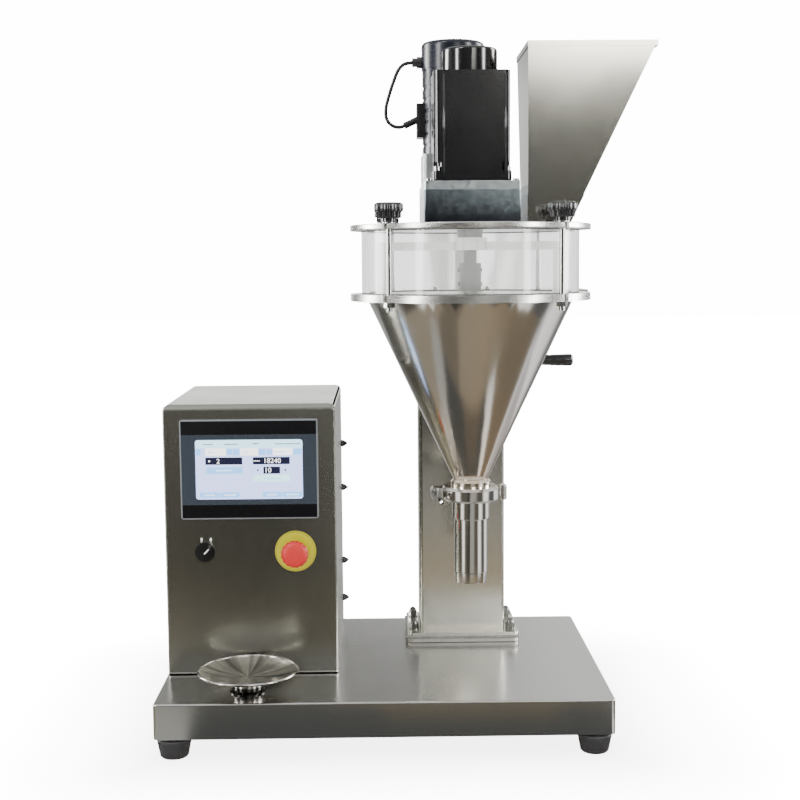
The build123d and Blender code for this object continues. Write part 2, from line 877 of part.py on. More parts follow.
def cabinet_rear_cover():
    # Flat cover over the cabinet's open back, inside the outline of the shell
    inset = rear_cover_gap
    front = cabinet_back - 1
    back = cabinet_back + rear_cover_thickness
    cover = block(cabinet_left + inset, cabinet_right - inset, cabinet_back, back, base_top + inset,
                  base_top + cabinet_height - inset)
    for x, z in cover_screw_places():
        cover -= rod_y(cover_screw_shank + running_gap, front, back + 1, x, z)
    half = inlet_width / 2 - inlet_flange
    rise = inlet_height / 2 - inlet_flange
    z = base_top + inlet_z
    cover -= block(cabinet_middle - half, cabinet_middle + half, front, back + 1, z - rise, z + rise)
    return cover - rod_y(gland_radius - 2, front, back + 1, cabinet_middle, base_top + gland_z)


def cover_screw_places():
    half = cabinet_width / 2 - cover_screw_inset
    low = base_top + cover_screw_inset
    high = base_top + cabinet_height - cover_screw_inset
    middle = (low + high) / 2
    return [(cabinet_middle + i * half, z) for i in (-1, 1) for z in (low, middle, high)]


def cover_screw(x, z):
    back = cabinet_back + rear_cover_thickness
    head = rod_y(cover_screw_radius, back, back + cover_screw_height, x, z)
    return head + rod_y(cover_screw_shank, cabinet_back - 3 * cabinet_wall, back, x, z)


def side_bolt(z):
    # Domed nut on the cabinet's side near its back edge
    y = cabinet_back - side_bolt_back
    face = cabinet_right
    shank = rod_x(side_bolt_shank, face - 4 * cabinet_wall, face, y, base_top + z)
    steps = [(side_bolt_radius * share, side_bolt_height * rise) for share, rise in dome_steps]
    dome = turned([(0, 0), (side_bolt_radius, 0)] + steps + [(0, side_bolt_height)])
    dome = Pos(face, y, base_top + z) * Rot(0, 90, 0) * dome
    return shank + dome


# Touch panel
def panel_box(width, height, front, back):
    z = base_top + panel_centre_height
    outline = Plane.XZ * RectangleRounded(width, height, panel_corner)
    return Pos(cabinet_middle, back, z) * extrude(outline, back - front)


def panel_bezel():
    # Front frame with a chamfered edge and a stepped window
    front = cabinet_front - panel_lip
    bezel = panel_box(panel_width, panel_height, front, cabinet_front)
    bezel = chamfer(bezel.faces().sort_by(Axis.Y)[0].edges(), panel_edge)
    window = panel_box(screen_width, screen_height, front - 1, cabinet_front + 1)
    return bezel - window


def panel_screen():
    front = cabinet_front - panel_lip + screen_recess
    return panel_box(screen_width, screen_height, front, front + screen_thickness)


def panel_body():
    # Electronics case behind the front sheet, with a pad that carries the screen
    case = panel_box(panel_body_width, panel_body_height, cabinet_front, cabinet_front + panel_body_depth)
    pad_front = cabinet_front - panel_lip + screen_recess + screen_thickness
    return case + panel_box(screen_width, screen_height, pad_front, cabinet_front + 1)


# Switches
def switch_body(x, bezel_radius, bore_radius):
    # Threaded barrel through the sheet, a round bezel in front, nut and contact block behind
    z = base_top + switch_height
    back = cabinet_front + cabinet_wall + switch_nut_thickness
    barrel = rod_y(switch_thread_radius, cabinet_front - switch_bezel_thickness, back, x, z)
    bezel = rod_y(bezel_radius, cabinet_front - switch_bezel_thickness, cabinet_front, x, z)
    nut = rod_y(switch_nut_radius, cabinet_front + cabinet_wall, back, x, z)
    contact = block(x - switch_block_width / 2, x + switch_block_width / 2, back, back + switch_block_depth,
                    z - switch_block_height / 2, z + switch_block_height / 2)
    bore = rod_y(bore_radius, cabinet_front - switch_bezel_thickness - 1,
                 cabinet_front - switch_bezel_thickness + switch_bore_depth, x, z)
    return barrel + bezel + nut + contact - bore


def selector_body():
    return switch_body(selector_x, switch_bezel_radius, selector_stem_radius + running_gap)


def selector_knob():
    # Round skirt with a raised bar, turned to the right
    face = cabinet_front - switch_bezel_thickness - seat_gap
    z = base_top + switch_height
    skirt_front = face - selector_knob_thickness
    knob = rod_y(selector_knob_radius, skirt_front, face, selector_x, z)
    bar = Box(selector_bar_width, selector_bar_height, 2 * selector_knob_radius - 1)
    bar = fillet(bar.edges().filter_by(Axis.Y), selector_bar_width / 2 - 0.5)
    bar = Pos(selector_x, skirt_front - selector_bar_height / 2 + 0.5, z) * Rot(0, selector_turn, 0) * bar
    stem = rod_y(selector_stem_radius, skirt_front, face + switch_bore_depth - 2 * switch_bezel_thickness,
                 selector_x, z)
    return knob + bar + stem


def estop_ring():
    z = base_top + switch_height
    front = cabinet_front - estop_ring_thickness
    ring = rod_y(estop_ring_radius, front, cabinet_front, estop_x, z)
    return ring - rod_y(switch_thread_radius + running_gap, front - 1, cabinet_front + 1, estop_x, z)


def estop_body():
    # Barrel with a front collar that clamps the yellow ring
    z = base_top + switch_height
    front = cabinet_front - estop_ring_thickness
    collar_front = front - estop_collar_height
    back = cabinet_front + cabinet_wall + switch_nut_thickness
    body = rod_y(switch_thread_radius, front, back, estop_x, z)
    body += rod_y(estop_collar_radius, collar_front, front, estop_x, z)
    body += rod_y(switch_nut_radius, cabinet_front + cabinet_wall, back, estop_x, z)
    body += block(estop_x - switch_block_width / 2, estop_x + switch_block_width / 2, back,
                  back + switch_block_depth, z - switch_block_height / 2, z + switch_block_height / 2)
    bore_end = collar_front + estop_collar_height + switch_bore_depth
    return body - rod_y(estop_stem_radius + running_gap, collar_front - 1, bore_end, estop_x, z)


def mushroom_back():
    return cabinet_front - estop_ring_thickness - estop_collar_height - estop_travel - seat_gap


def estop_plunger():
    # Stem that slides in the barrel and carries the turning head on a thinner end
    z = base_top + switch_height
    back = mushroom_back()
    end = back + estop_travel + estop_collar_height
    stem = rod_y(estop_stem_radius, back, end, estop_x, z)
    return stem + rod_y(estop_stem_radius / 2, back - mushroom_height / 2, back, estop_x, z)


def estop_mushroom():
    # Domed head with finger notches round its edge
    back = mushroom_back() - seat_gap
    z = base_top + switch_height
    r = mushroom_radius
    h = mushroom_height
    head = turned([(0, 0), (mushroom_neck_radius, 0), (r, mushroom_rim_low), (r, mushroom_rim_high),
                   (0, mushroom_rim_high)])
    crown_rise = h - mushroom_rim_high
    crown_radius = (r * r + crown_rise * crown_rise) / (2 * crown_rise)
    ball = Pos(0, 0, h - crown_radius) * Sphere(crown_radius)
    head = head + (ball & rod_z(2 * r, mushroom_rim_high, h + 1))
    for i in range(mushroom_notch_count):
        angle = 360 / mushroom_notch_count * i
        head -= Rot(0, 0, angle) * rod_z(mushroom_notch_radius, -1, mushroom_rim_high, r + 0.5)
    head -= Pos(0, 0, -1) * Cylinder(estop_stem_radius / 2 + running_gap, mushroom_height / 2 + 1.5,
                                     align=UPRIGHT)
    return Pos(estop_x, back, z) * Rot(90, 0, 0) * head


# Inside the cabinet
def cabinet_back_plate():
    back = cabinet_back - back_plate_stand
    high = base_top + cabinet_height - back_plate_margin
    low = base_top + cabinet_wall
    plate = block(cabinet_left + back_plate_margin, cabinet_right - back_plate_margin,
                  back - back_plate_thickness, back, low, high)
    foot = block(cabinet_left + back_plate_margin, cabinet_right - back_plate_margin,
                 back - cabinet_lip, back, low, low + back_plate_thickness)
    plate += foot
    plate -= rod_y(gland_nut_radius + 4, back - 5, back + 5, cabinet_middle, base_top + gland_z)
    clear = inlet_flange
    return plate - block(cabinet_middle - inlet_width / 2 - clear, cabinet_middle + inlet_width / 2 + clear,
                         back - 5, back + 5, base_top + inlet_z - inlet_height / 2 - clear,
                         base_top + inlet_z + inlet_height / 2 + clear)


def servo_drive():
    # Slim case with cooling ribs on its side
    back = cabinet_back - back_plate_stand - back_plate_thickness
    left = cabinet_left + back_plate_margin + drive_inset
    right = left + drive_width
    low = base_top + drive_rise
    case = block(left, right, back - drive_depth, back, low, low + drive_height)
    step = drive_depth / (drive_ribs + 1)
    half = drive_rib_thickness / 2
    for i in range(drive_ribs):
        y = back - drive_depth + step * (i + 1)
        case += block(right, right + drive_rib_depth, y - half, y + half, low, low + drive_height)
    return case


def power_supply():
    back = cabinet_back - back_plate_stand - back_plate_thickness
    right = cabinet_right - back_plate_margin - supply_inset
    low = base_top + supply_rise
    return block(right - supply_width, right, back - supply_depth, back, low, low + supply_height)


def power_inlet():
    # Three-pin appliance inlet on the back cover
    z = base_top + inlet_z
    back = cabinet_back + rear_cover_thickness
    flange = block(cabinet_middle - inlet_width / 2, cabinet_middle + inlet_width / 2, back,
                   back + inlet_flange, z - inlet_height / 2, z + inlet_height / 2)
    margin = inlet_flange + panel_gap
    body = block(cabinet_middle - inlet_width / 2 + margin, cabinet_middle + inlet_width / 2 - margin,
                 back - inlet_depth, back, z - inlet_height / 2 + margin, z + inlet_height / 2 - margin)
    floor = back - inlet_depth / 2
    pocket = block(cabinet_middle - inlet_width / 4, cabinet_middle + inlet_width / 4, floor,
                   back + inlet_flange + 1, z - inlet_height / 4, z + inlet_height / 4)
    socket = flange + body - pocket
    pin_step = inlet_width / 7
    for i in (-1, 0, 1):
        x = cabinet_middle + i * pin_step
        middle = z + inlet_pin * (1 - 2 * abs(i))
        socket += block(x - inlet_pin / 2, x + inlet_pin / 2, floor - 1, back, middle - inlet_pin,
                        middle + inlet_pin)
    return socket


def cabinet_gland():
    # Cable gland for the head's leads
    x = cabinet_middle
    z = base_top + gland_z
    back = cabinet_back + rear_cover_thickness
    gland = rod_y(gland_radius - 2 - running_gap, cabinet_back - gland_nut_thickness, back, x, z)
    gland += rod_y(gland_nut_radius, back, back + gland_nut_thickness, x, z)
    gland += rod_y(gland_radius, back, back + gland_length, x, z)
    gland += rod_y(gland_nut_radius, cabinet_back - gland_nut_thickness, cabinet_back, x, z)
    return gland - rod_y(gland_bore_radius, cabinet_back - gland_nut_thickness - 1,
                         back + gland_length + 1, x, z)


# Dish
def catch_dish():
    # Shallow pan with a rolled rim on a turned stem with a flat foot
    low = base_top + running_gap
    high = low + dish_height
    edge = high - dish_rim_radius
    points = [(0, low), (dish_foot_radius, low)]
    points += [(radius, low + rise) for radius, rise in dish_under]
    points += [(dish_radius, edge), (dish_radius - dish_rim_radius, edge)]
    points += [(radius, low + rise) for radius, rise in dish_inside]
    shell = turned(points, dish_x, dish_y)
    rim = Torus(dish_radius - dish_rim_radius, dish_rim_radius)
    return shell + Pos(dish_x, dish_y, high - dish_rim_radius) * rim


# Nozzle and clamp
def ferrule_points(face, direction, neck):
    # Flange of a clamp joint, from its flat face towards its neck
    rim = face + direction * ferrule_rim
    root = rim + direction * ferrule_slope
    return [(ferrule_radius, face), (ferrule_radius, rim), (neck, root)]


def filling_collar():
    points = [(tube_inner_radius, collar_high)]
    points += ferrule_points(collar_high, -1, collar_radius)
    points += [(collar_radius, tube_high + 1), (collar_radius - 1, tube_high),
               (tube_inner_radius, tube_high)]
    return turned(points, hopper_x, hopper_y)


def filling_tube():
    return pipe_z(tube_radius, tube_inner_radius, tip_high, tube_high, hopper_x, hopper_y)


def filling_tip():
    # Screwed end of the tube, with a bevelled mouth
    points = [(tube_inner_radius, tip_low), (tube_inner_radius + 0.4, tip_low), (tip_radius, tip_low + 1),
              (tip_radius, tip_high), (tube_inner_radius, tip_high)]
    return turned(points, hopper_x, hopper_y)


def clamp_gasket():
    return pipe_z(ferrule_radius - 2, tube_inner_radius, collar_high, gasket_high, hopper_x, hopper_y)


def clamp_ring():
    # Ring with a tapered groove that pulls the two flanges together
    middle = (collar_high + gasket_high) / 2
    low = middle - clamp_height / 2
    high = middle + clamp_height / 2
    groove = seat_gap / 3
    rim = gasket_thickness / 2 + ferrule_rim + groove
    root = rim + ferrule_slope
    bevel = clamp_bevel
    points = [(clamp_bore_radius, low), (clamp_radius - bevel, low), (clamp_radius, low + bevel),
              (clamp_radius, high - bevel), (clamp_radius - bevel, high), (clamp_bore_radius, high),
              (clamp_bore_radius, middle + root), (ferrule_radius + groove, middle + rim),
              (ferrule_radius + groove, middle - rim), (clamp_bore_radius, middle - root)]
    return turned(points, hopper_x, hopper_y)


def clamp_half(side):
    # side -1 is the front half. Lugs on the left take the bolt, knuckles on the right the hinge pin
    middle = (collar_high + gasket_high) / 2
    low = middle - clamp_height / 2
    high = middle + clamp_height / 2
    edge = clamp_split / 2
    reach = 2 * clamp_radius
    start, end = sorted((side * edge, side * reach))
    keep = block(hopper_x - reach, hopper_x + reach, hopper_y + start, hopper_y + end, low - 1, high + 1)
    half = clamp_ring() & keep
    lug_left = hopper_x - clamp_radius - clamp_lug_width
    start, end = sorted((side * edge, side * (edge + clamp_lug_thickness)))
    lug_right = hopper_x - clamp_radius + clamp_bevel
    lug = block(lug_left, lug_right, hopper_y + start, hopper_y + end, low + 2, high - 2)
    lug = fillet(lug.edges().filter_by(Axis.Y).group_by(Axis.X)[0], clamp_lug_corner)
    bolt_x = lug_left + clamp_lug_width / 2
    lug -= rod_y(clamp_bolt_radius + seat_gap, hopper_y - reach, hopper_y + reach, bolt_x, middle)
    half += lug
    pin_x = clamp_pin_x()
    knuckle_radius = 2 * clamp_pin_radius
    third = clamp_height / 3
    bands = [(middle - third / 2 + slide_gap, middle + third / 2 - slide_gap)]
    if side > 0:
        bands = [(low, middle - third / 2), (middle + third / 2, high)]
    for start, end in bands:
        front, back = sorted((hopper_y + side * edge, hopper_y + side * (edge + knuckle_radius / 2)))
        half += block(hopper_x + clamp_radius - clamp_bevel, pin_x, front, back, start, end)
        half += rod_z(knuckle_radius, start, end, pin_x, hopper_y)
    if side > 0:
        other = [(middle - third / 2, middle + third / 2)]
    else:
        other = [(low - 1, middle - third / 2 + slide_gap), (middle + third / 2 - slide_gap, high + 1)]
    for start, end in other:
        half -= rod_z(knuckle_radius + slide_gap, start, end, pin_x, hopper_y)
    return half - rod_z(clamp_pin_radius + running_gap, low - 1, high + 1, pin_x, hopper_y)


def clamp_pin_x():
    return hopper_x + clamp_radius + clamp_pin_radius + 2


def clamp_hinge_pin():
    middle = (collar_high + gasket_high) / 2
    low = middle - clamp_height / 2
    high = middle + clamp_height / 2
    head = rod_z(1.5 * clamp_pin_radius, high, high + 1.5, clamp_pin_x(), hopper_y)
    return rod_z(clamp_pin_radius, low - 1, high, clamp_pin_x(), hopper_y) + head


def clamp_bolt():
    # Eye bolt: its head sits behind the rear lug and its thread comes through the front one
    x = hopper_x - clamp_radius - clamp_lug_width / 2
    z = (collar_high + gasket_high) / 2
    lug_back = hopper_y + clamp_split / 2 + clamp_lug_thickness
    bolt = rod_y(clamp_bolt_radius, hopper_y - clamp_bolt_reach, lug_back, x, z)
    return bolt + rod_y(2 * clamp_bolt_radius, lug_back, lug_back + clamp_head_height, x, z)


def clamp_wing_nut():
    x = hopper_x - clamp_radius - clamp_lug_width / 2
    z = (collar_high + gasket_high) / 2
    face = hopper_y - clamp_split / 2 - clamp_lug_thickness - seat_gap
    hub = rod_y(wing_hub_radius, face - wing_hub_length, face, x, z)
    half = wing_span / 2
    inner = half - wing_root
    shoulder = wing_height - wing_root + 1
    rise = wing_height / 2 - 1
    right = [(wing_root, 0), (inner, rise - 1), (half, shoulder), (half - wing_root + 1, wing_height),
             (inner - wing_root + 1, shoulder + 1), (wing_root, rise)]
    left = [(-across, along) for across, along in reversed(right)]
    outline = make_face(Polyline(*right, *left, close=True))
    wings = Pos(0, 0, -wing_thickness / 2) * extrude(outline, wing_thickness)
    wings = Pos(x, face, z) * Rot(0, wing_turn, 0) * Rot(180, 0, 0) * wings
    nut = hub + wings
    return nut - rod_y(clamp_bolt_radius + running_gap, face - 2 * wing_height, face + 1, x, z)


# Hopper
def hopper_cone():
    # Cone of sheet with a rim that fits in the plate and a clamp flange at its neck
    wall_low = cone_low_radius - tube_inner_radius
    slope = math.hypot(cone_top_radius - cone_low_radius, cone_height) / cone_height
    inner_top = cone_top_radius - cone_wall * slope
    points = [(tube_inner_radius, gasket_high)]
    points += ferrule_points(gasket_high, 1, neck_radius)
    points += [(neck_radius, cone_low - 1), (neck_radius - 1, cone_low),
               (cone_low_radius, cone_low + wall_low), (cone_top_radius, plate_low),
               (cone_top_radius, plate_high), (inner_top, plate_high), (inner_top, plate_low),
               (tube_inner_radius, cone_low + wall_low)]
    return turned(points, hopper_x, hopper_y)


def rod_places():
    places = []
    for angle in (-90 - rod_angle, -90 + rod_angle, 90 - rod_angle, 90 + rod_angle):
        turn = math.radians(angle)
        places.append((hopper_x + rod_circle_radius * math.cos(turn),
                       hopper_y + rod_circle_radius * math.sin(turn)))
    return places


def rod_slot(low, high, x, y):
    # Open slot from the rod's place out through the flange's edge
    turn = math.degrees(math.atan2(y - hopper_y, x - hopper_x))
    length = 2 * (flange_radius - rod_circle_radius)
    slot = Box(length, 2 * rod_slot_radius, high - low, align=(Align.MIN, Align.CENTER, Align.MIN))
    return Pos(x, y, low) * Rot(0, 0, turn) * slot + rod_z(rod_slot_radius, low, high, x, y)


def tail_screw_places():
    return corners(tail_screw_spacing_x, tail_screw_spacing_y, column_x, column_y)


def hopper_plate():
    # Round flange in front, square tail behind that rests on the lift post
    plate = rod_z(flange_radius, plate_low, plate_high, hopper_x, hopper_y)
    tail = block(tail_left, tail_right, tail_front, tail_back, plate_low, plate_high)
    neck = block(tail_left, hopper_x + flange_radius, hopper_y + tail_reach, tail_front, plate_low,
                 plate_high)
    plate = plate + tail + neck
    plate -= rod_z(cone_top_radius, plate_low - 1, plate_high + 1, hopper_x, hopper_y)
    for x, y in rod_places():
        if y < hopper_y:
            plate -= rod_slot(plate_low - 1, plate_high + 1, x, y)
        plate -= rod_z(rod_slot_radius, plate_low - 1, plate_high + 1, x, y)
    for x, y in tail_screw_places():
        plate -= rod_z(foot_bolt_radius + running_gap, plate_low - 1, plate_high + 1, x, y)
    return plate


def tail_screw(x, y):
    head = rod_z(foot_bolt_head_radius, plate_high, plate_high + foot_bolt_head_height, x, y)
    head -= hex_prism(6, plate_high + 2, plate_high + foot_bolt_head_height + 1, x, y)
    return head + rod_z(foot_bolt_radius - running_gap, post_high, plate_high, x, y)


def ring_gasket_piece(low):
    return pipe_z(ring_radius, ring_radius - ring_wall, low, low + ring_gasket, hopper_x, hopper_y)


def hopper_ring():
    return pipe_z(ring_radius, ring_radius - ring_wall, ring_low, ring_high, hopper_x, hopper_y)


def chute_mouth(low, high, margin):
    return block(chute_left + margin, chute_low_right - margin, chute_front + margin,
                 chute_low_back - margin, low, high)


def hopper_cover():
    cover = rod_z(flange_radius, cover_low, cover_high, hopper_x, hopper_y)
    cover = fillet(cover.edges(), cover_edge)
    for x, y in rod_places():
        cover -= rod_slot(cover_low - 1, cover_high + 1, x, y)
    cover -= rod_z(hollow_radius + 3, cover_low - 1, cover_high + 1, hopper_x, hopper_y)
    return cover - chute_mouth(cover_low - 1, cover_high + 1, chute_wall)


def tie_rod(x, y):
    high = cover_high + knob_washer_thickness + knob_bore_depth - 2
    return rod_z(rod_radius, plate_low - rod_tail, high, x, y)


def tie_rod_nut(x, y):
    nut = hex_prism(rod_nut_flats, plate_low - rod_nut_height, plate_low, x, y)
    return nut - rod_z(rod_radius, plate_low - rod_nut_height - 1, plate_low + 1, x, y)


def knob_washer(x, y):
    return pipe_z(knob_washer_radius, rod_radius + running_gap, cover_high,
                  cover_high + knob_washer_thickness, x, y)


def cover_knob(x, y):
    # Two fluted tiers and a shallow crown
    low = cover_high + knob_washer_thickness + slide_gap
    waist = low + knob_low_height
    high = waist + knob_top_height
    low_flutes = round(knob_flutes * knob_low_radius / knob_top_radius)
    knob = fluted_disc(knob_low_radius, knob_flute_radius, low_flutes, low, waist, x, y)
    knob += fluted_disc(knob_top_radius, knob_flute_radius, knob_flutes, waist, high - knob_crown, x, y)
    crown_radius = knob_top_radius - knob_flute_radius
    knob += turned([(0, high - knob_crown), (crown_radius, high - knob_crown),
                    (crown_radius - knob_crown, high), (0, high)], x, y)
    return knob - rod_z(rod_radius + running_gap, low - 1, low + knob_bore_depth, x, y)


# Gearbox
def gearbox_middle_y():
    return (gearbox_front + gearbox_back) / 2


def gearbox_housing():
    depth = gearbox_back - gearbox_front
    y = gearbox_middle_y()
    outer = rounded_block(gearbox_width, depth, gearbox_corner, cover_high, lid_low, hopper_x, y)
    inner = rounded_block(gearbox_width - 2 * gearbox_wall, depth - 2 * gearbox_wall, gearbox_corner,
                          cover_high + gearbox_floor, lid_low + 1, hopper_x, y)
    housing = outer - inner
    boss_high = cover_high + gearbox_floor + bearing_width - bearing_land
    for centre_y in (hopper_y, pinion_y):
        housing += rod_z(bearing_radius + 4, cover_high, boss_high, hopper_x, centre_y)
        housing -= rod_z(bearing_radius, boss_high - bearing_width, boss_high + 1, hopper_x, centre_y)
    return housing - rod_z(hollow_radius + 3, cover_high - 1, boss_high, hopper_x, hopper_y)


def gearbox_lid_plate():
    depth = gearbox_back - gearbox_front
    y = gearbox_middle_y()
    lid = rounded_block(gearbox_width, depth, gearbox_corner, lid_low, lid_high, hopper_x, y)
    lid -= rod_z(motor_flange / 4, lid_low - 1, lid_high + 1, hopper_x, hopper_y)
    return lid - rod_z(motor_flange / 5, lid_low - 1, lid_high + 1, hopper_x, pinion_y)


def lid_screw_places():
    half_x = gearbox_width / 2 - lid_screw_inset
    front = gearbox_front + lid_screw_inset
    back = gearbox_back - lid_screw_inset
    return [(hopper_x + i * half_x, y) for i in (-1, 1) for y in (front, (front + back) / 2, back)]


def lid_screw(x, y):
    return rod_z(lid_screw_radius, lid_high, lid_high + lid_screw_height, x, y)


def ball_bearing(centre_y, bore):
    # Outer and inner race with a ring of balls between, on one axis
    boss_high = cover_high + gearbox_floor + bearing_width - bearing_land
    low = boss_high - bearing_width
    outer = pipe_z(bearing_radius, bearing_radius - bearing_race, low, boss_high, hopper_x, centre_y)
    inner = pipe_z(bore + bearing_race, bore, low, boss_high, hopper_x, centre_y)
    band_low = low + (bearing_width - bearing_ball_band) / 2
    web = pipe_z(bearing_radius - bearing_race, bore + bearing_race, band_low, band_low + bearing_ball_band,
                 hopper_x, centre_y)
    return outer + inner + web


def agitator_gear():
    outline = gear_outline(gear_module, agitator_teeth, 90)
    gear = Pos(hopper_x, hopper_y, gear_low) * extrude(outline, gear_width)
    return gear - rod_z(hollow_radius, gear_low - 1, gear_high + 1, hopper_x, hopper_y)


def agitator_hollow_shaft():
    low = cover_low - hollow_drop - agitator_hub_height
    return pipe_z(hollow_radius - running_gap, hollow_bore, low, gear_high + 2, hopper_x, hopper_y)


def agitator_pinion():
    # Driving gear on the agitator motor's shaft, a gap facing the agitator gear
    outline = gear_outline(gear_module, agitator_pinion_teeth, -90 + 180 / agitator_pinion_teeth)
    gear = Pos(hopper_x, pinion_y, gear_low) * extrude(outline, gear_width)
    return gear - rod_z(agitator_shaft_radius, gear_low - 1, gear_high + 1, hopper_x, pinion_y)


def agitator_motor_shaft():
    # Output shaft, from the lower bearing up into the gearhead
    low = gear_low - bearing_land
    return rod_z(agitator_shaft_radius, low, lid_high + gearbox_lid, hopper_x, pinion_y)


# Auger drive
def motor_outline(size, corner):
    return fillet(Rectangle(size, size).vertices(), corner)


def auger_motor():
    # Square servo motor: flange, ribbed body with a groove down each corner, and a pilot below
    body_low = lid_high + motor_flange_thickness
    body_high = lid_high + motor_height
    flange = extrude(motor_outline(motor_flange, motor_corner), motor_flange_thickness)
    flange = Pos(hopper_x, hopper_y, lid_high) * flange
    body = extrude(motor_outline(motor_body, motor_corner), body_high - body_low)
    body = Pos(hopper_x, hopper_y, body_low) * body
    for x, y in corners(motor_body, motor_body, hopper_x, hopper_y):
        body -= rod_z(motor_notch_radius, body_low, body_low + motor_notch_height, x, y)
        body -= rod_z(motor_groove_radius, body_low, body_high + 1, x, y)
    pilot = rod_z(motor_flange / 4 - running_gap, lid_high - 4, lid_high, hopper_x, hopper_y)
    motor = flange + body + pilot
    for x, y in motor_screw_places():
        motor -= rod_z(motor_screw_radius / 2 + running_gap, lid_high - 1, body_low + 1, x, y)
    return motor - rod_z(drive_shaft_radius + seat_gap, lid_high - 5, lid_high + motor_flange_thickness,
                         hopper_x, hopper_y)


def encoder_cap():
    low = lid_high + motor_height
    cap = rod_z(encoder_radius, low, low + encoder_height, hopper_x, hopper_y)
    return fillet(cap.faces().sort_by(Axis.Z)[-1].edges(), encoder_round)


def motor_screw_places():
    return corners(motor_screw_spacing, motor_screw_spacing, hopper_x, hopper_y)


def motor_screw(x, y):
    low = lid_high + motor_flange_thickness
    head = rod_z(motor_screw_radius, low, low + motor_screw_height, x, y)
    head -= hex_prism(5, low + 3, low + motor_screw_height + 1, x, y)
    return head + rod_z(motor_screw_radius / 2, lid_high, low, x, y)


def auger_drive_shaft():
    high = lid_high + motor_flange_thickness - seat_gap
    return rod_z(drive_shaft_radius, auger_shaft_high(), high, hopper_x, hopper_y)


def auger_coupling():
    # Sleeve with two cross pins joining the drive shaft and the auger
    middle = auger_shaft_high()
    low = middle - coupling_length / 2
    high = middle + coupling_length / 2
    sleeve = rod_z(coupling_radius, low, high, hopper_x, hopper_y)
    sleeve -= rod_z(auger_shaft_radius, low - 1, middle, hopper_x, hopper_y)
    sleeve -= rod_z(drive_shaft_radius, middle, high + 1, hopper_x, hopper_y)
    pin_end = coupling_radius + coupling_pin_radius / 2
    for z in (middle - coupling_length / 4, middle + coupling_length / 4):
        for side in (-1, 1):
            start, end = sorted((hopper_x + side * drive_shaft_radius, hopper_x + side * pin_end))
            sleeve += rod_x(coupling_pin_radius, start, end, hopper_y, z)
    return sleeve


def auger_shaft_high():
    return cover_low - hollow_drop - agitator_hub_height - drive_shaft_drop


def auger_screw():
    # Shaft with one helical flight that runs in the filling tube
    low = tip_low + auger_tip_rise
    flight_path = Helix(pitch=auger_pitch, height=auger_flight_height,
                        radius=(auger_radius + auger_shaft_radius) / 2 - 0.25)
    profile = Plane(origin=flight_path @ 0, x_dir=(1, 0, 0), z_dir=flight_path % 0) * Rectangle(
        auger_radius - auger_shaft_radius + 0.5, auger_flight)
    flight = Pos(hopper_x, hopper_y, low + auger_flight) * sweep(profile, path=flight_path, is_frenet=True)
    return rod_z(auger_shaft_radius, low, auger_shaft_high(), hopper_x, hopper_y) + flight


# Agitator
def agitator_frame():
    # Hub under the hollow shaft, cross bar, and two blades that follow the cone's wall
    hub_high = cover_low - hollow_drop
    hub_low = hub_high - agitator_hub_height
    slope = (cone_top_radius - cone_low_radius) / cone_height
    shoulder_radius = cone_top_radius - cone_wall - agitator_wall_gap - 4
    low_z = cone_low + agitator_low_rise
    low_radius = cone_low_radius + slope * agitator_low_rise - agitator_wall_gap
    bar_low = hub_low
    bar_high = hub_low + agitator_bar
    points = [(agitator_hub_radius - 2, bar_low), (shoulder_radius - agitator_blade, bar_low),
              (shoulder_radius - agitator_blade, plate_low), (low_radius - agitator_blade * 0.5, low_z),
              (low_radius, low_z), (shoulder_radius, plate_low), (shoulder_radius, bar_high),
              (agitator_hub_radius - 2, bar_high)]
    arm = Plane.XZ * make_face(Polyline(*points, close=True))
    arm = Pos(0, agitator_thickness / 2, 0) * extrude(arm, agitator_thickness)
    mirrored = mirror(arm, Plane.YZ)
    hub = pipe_z(agitator_hub_radius, hollow_radius, hub_low, hub_high)
    return Pos(hopper_x, hopper_y, 0) * (hub + arm + mirrored)


# Agitator drive
def agitator_gearhead():
    y = pinion_y
    head = rounded_block(gearhead_width, gearhead_width, gearhead_corner, lid_high,
                         lid_high + gearhead_height, agitator_motor_x, y)
    pilot = rod_z(motor_flange / 5 - running_gap, lid_high - 4, lid_high, hopper_x, y)
    head += pilot
    return head - rod_z(agitator_shaft_radius + seat_gap, lid_high - 5, lid_high + gearbox_lid + seat_gap,
                        hopper_x, y)


def agitator_motor():
    high = agitator_motor_low + agitator_motor_height
    body = rod_z(agitator_motor_radius, agitator_motor_low, high, agitator_motor_x, pinion_y)
    pitch = (agitator_motor_height - 2 * agitator_groove_start) / agitator_groove_count
    for i in range(agitator_groove_count):
        low = agitator_motor_low + agitator_groove_start + i * pitch
        body -= pipe_z(agitator_motor_radius + 1, agitator_motor_radius - agitator_groove_depth, low,
                       low + agitator_groove_width, agitator_motor_x, pinion_y)
    return body


def agitator_motor_cap():
    # Fan cover on top, with the gland's hole in its left side
    high = agitator_cap_low + agitator_cap_height
    cap = rod_z(agitator_cap_radius, agitator_cap_low, high, agitator_motor_x, pinion_y)
    cap = fillet(cap.faces().sort_by(Axis.Z)[-1].edges(), agitator_cap_round)
    left = agitator_motor_x - agitator_cap_radius
    return cap - rod_x(motor_gland_radius - 2, left - 1, left + 10, pinion_y, base_top + motor_gland_z)


def motor_gland():
    left = agitator_motor_x - agitator_cap_radius
    z = base_top + motor_gland_z
    gland = rod_x(motor_gland_radius - 2, left - 1, left + 10, pinion_y, z)
    gland += rod_x(motor_gland_radius, left - motor_gland_length / 2, left + 0.2, pinion_y, z)
    gland += rod_x(motor_gland_radius - 2, left - motor_gland_length, left - motor_gland_length / 2,
                   pinion_y, z)
    gland -= agitator_motor_cap()
    mouth = left - motor_gland_length
    return gland - rod_x(lead_radius, mouth - 1, mouth + lead_grip, pinion_y, z)


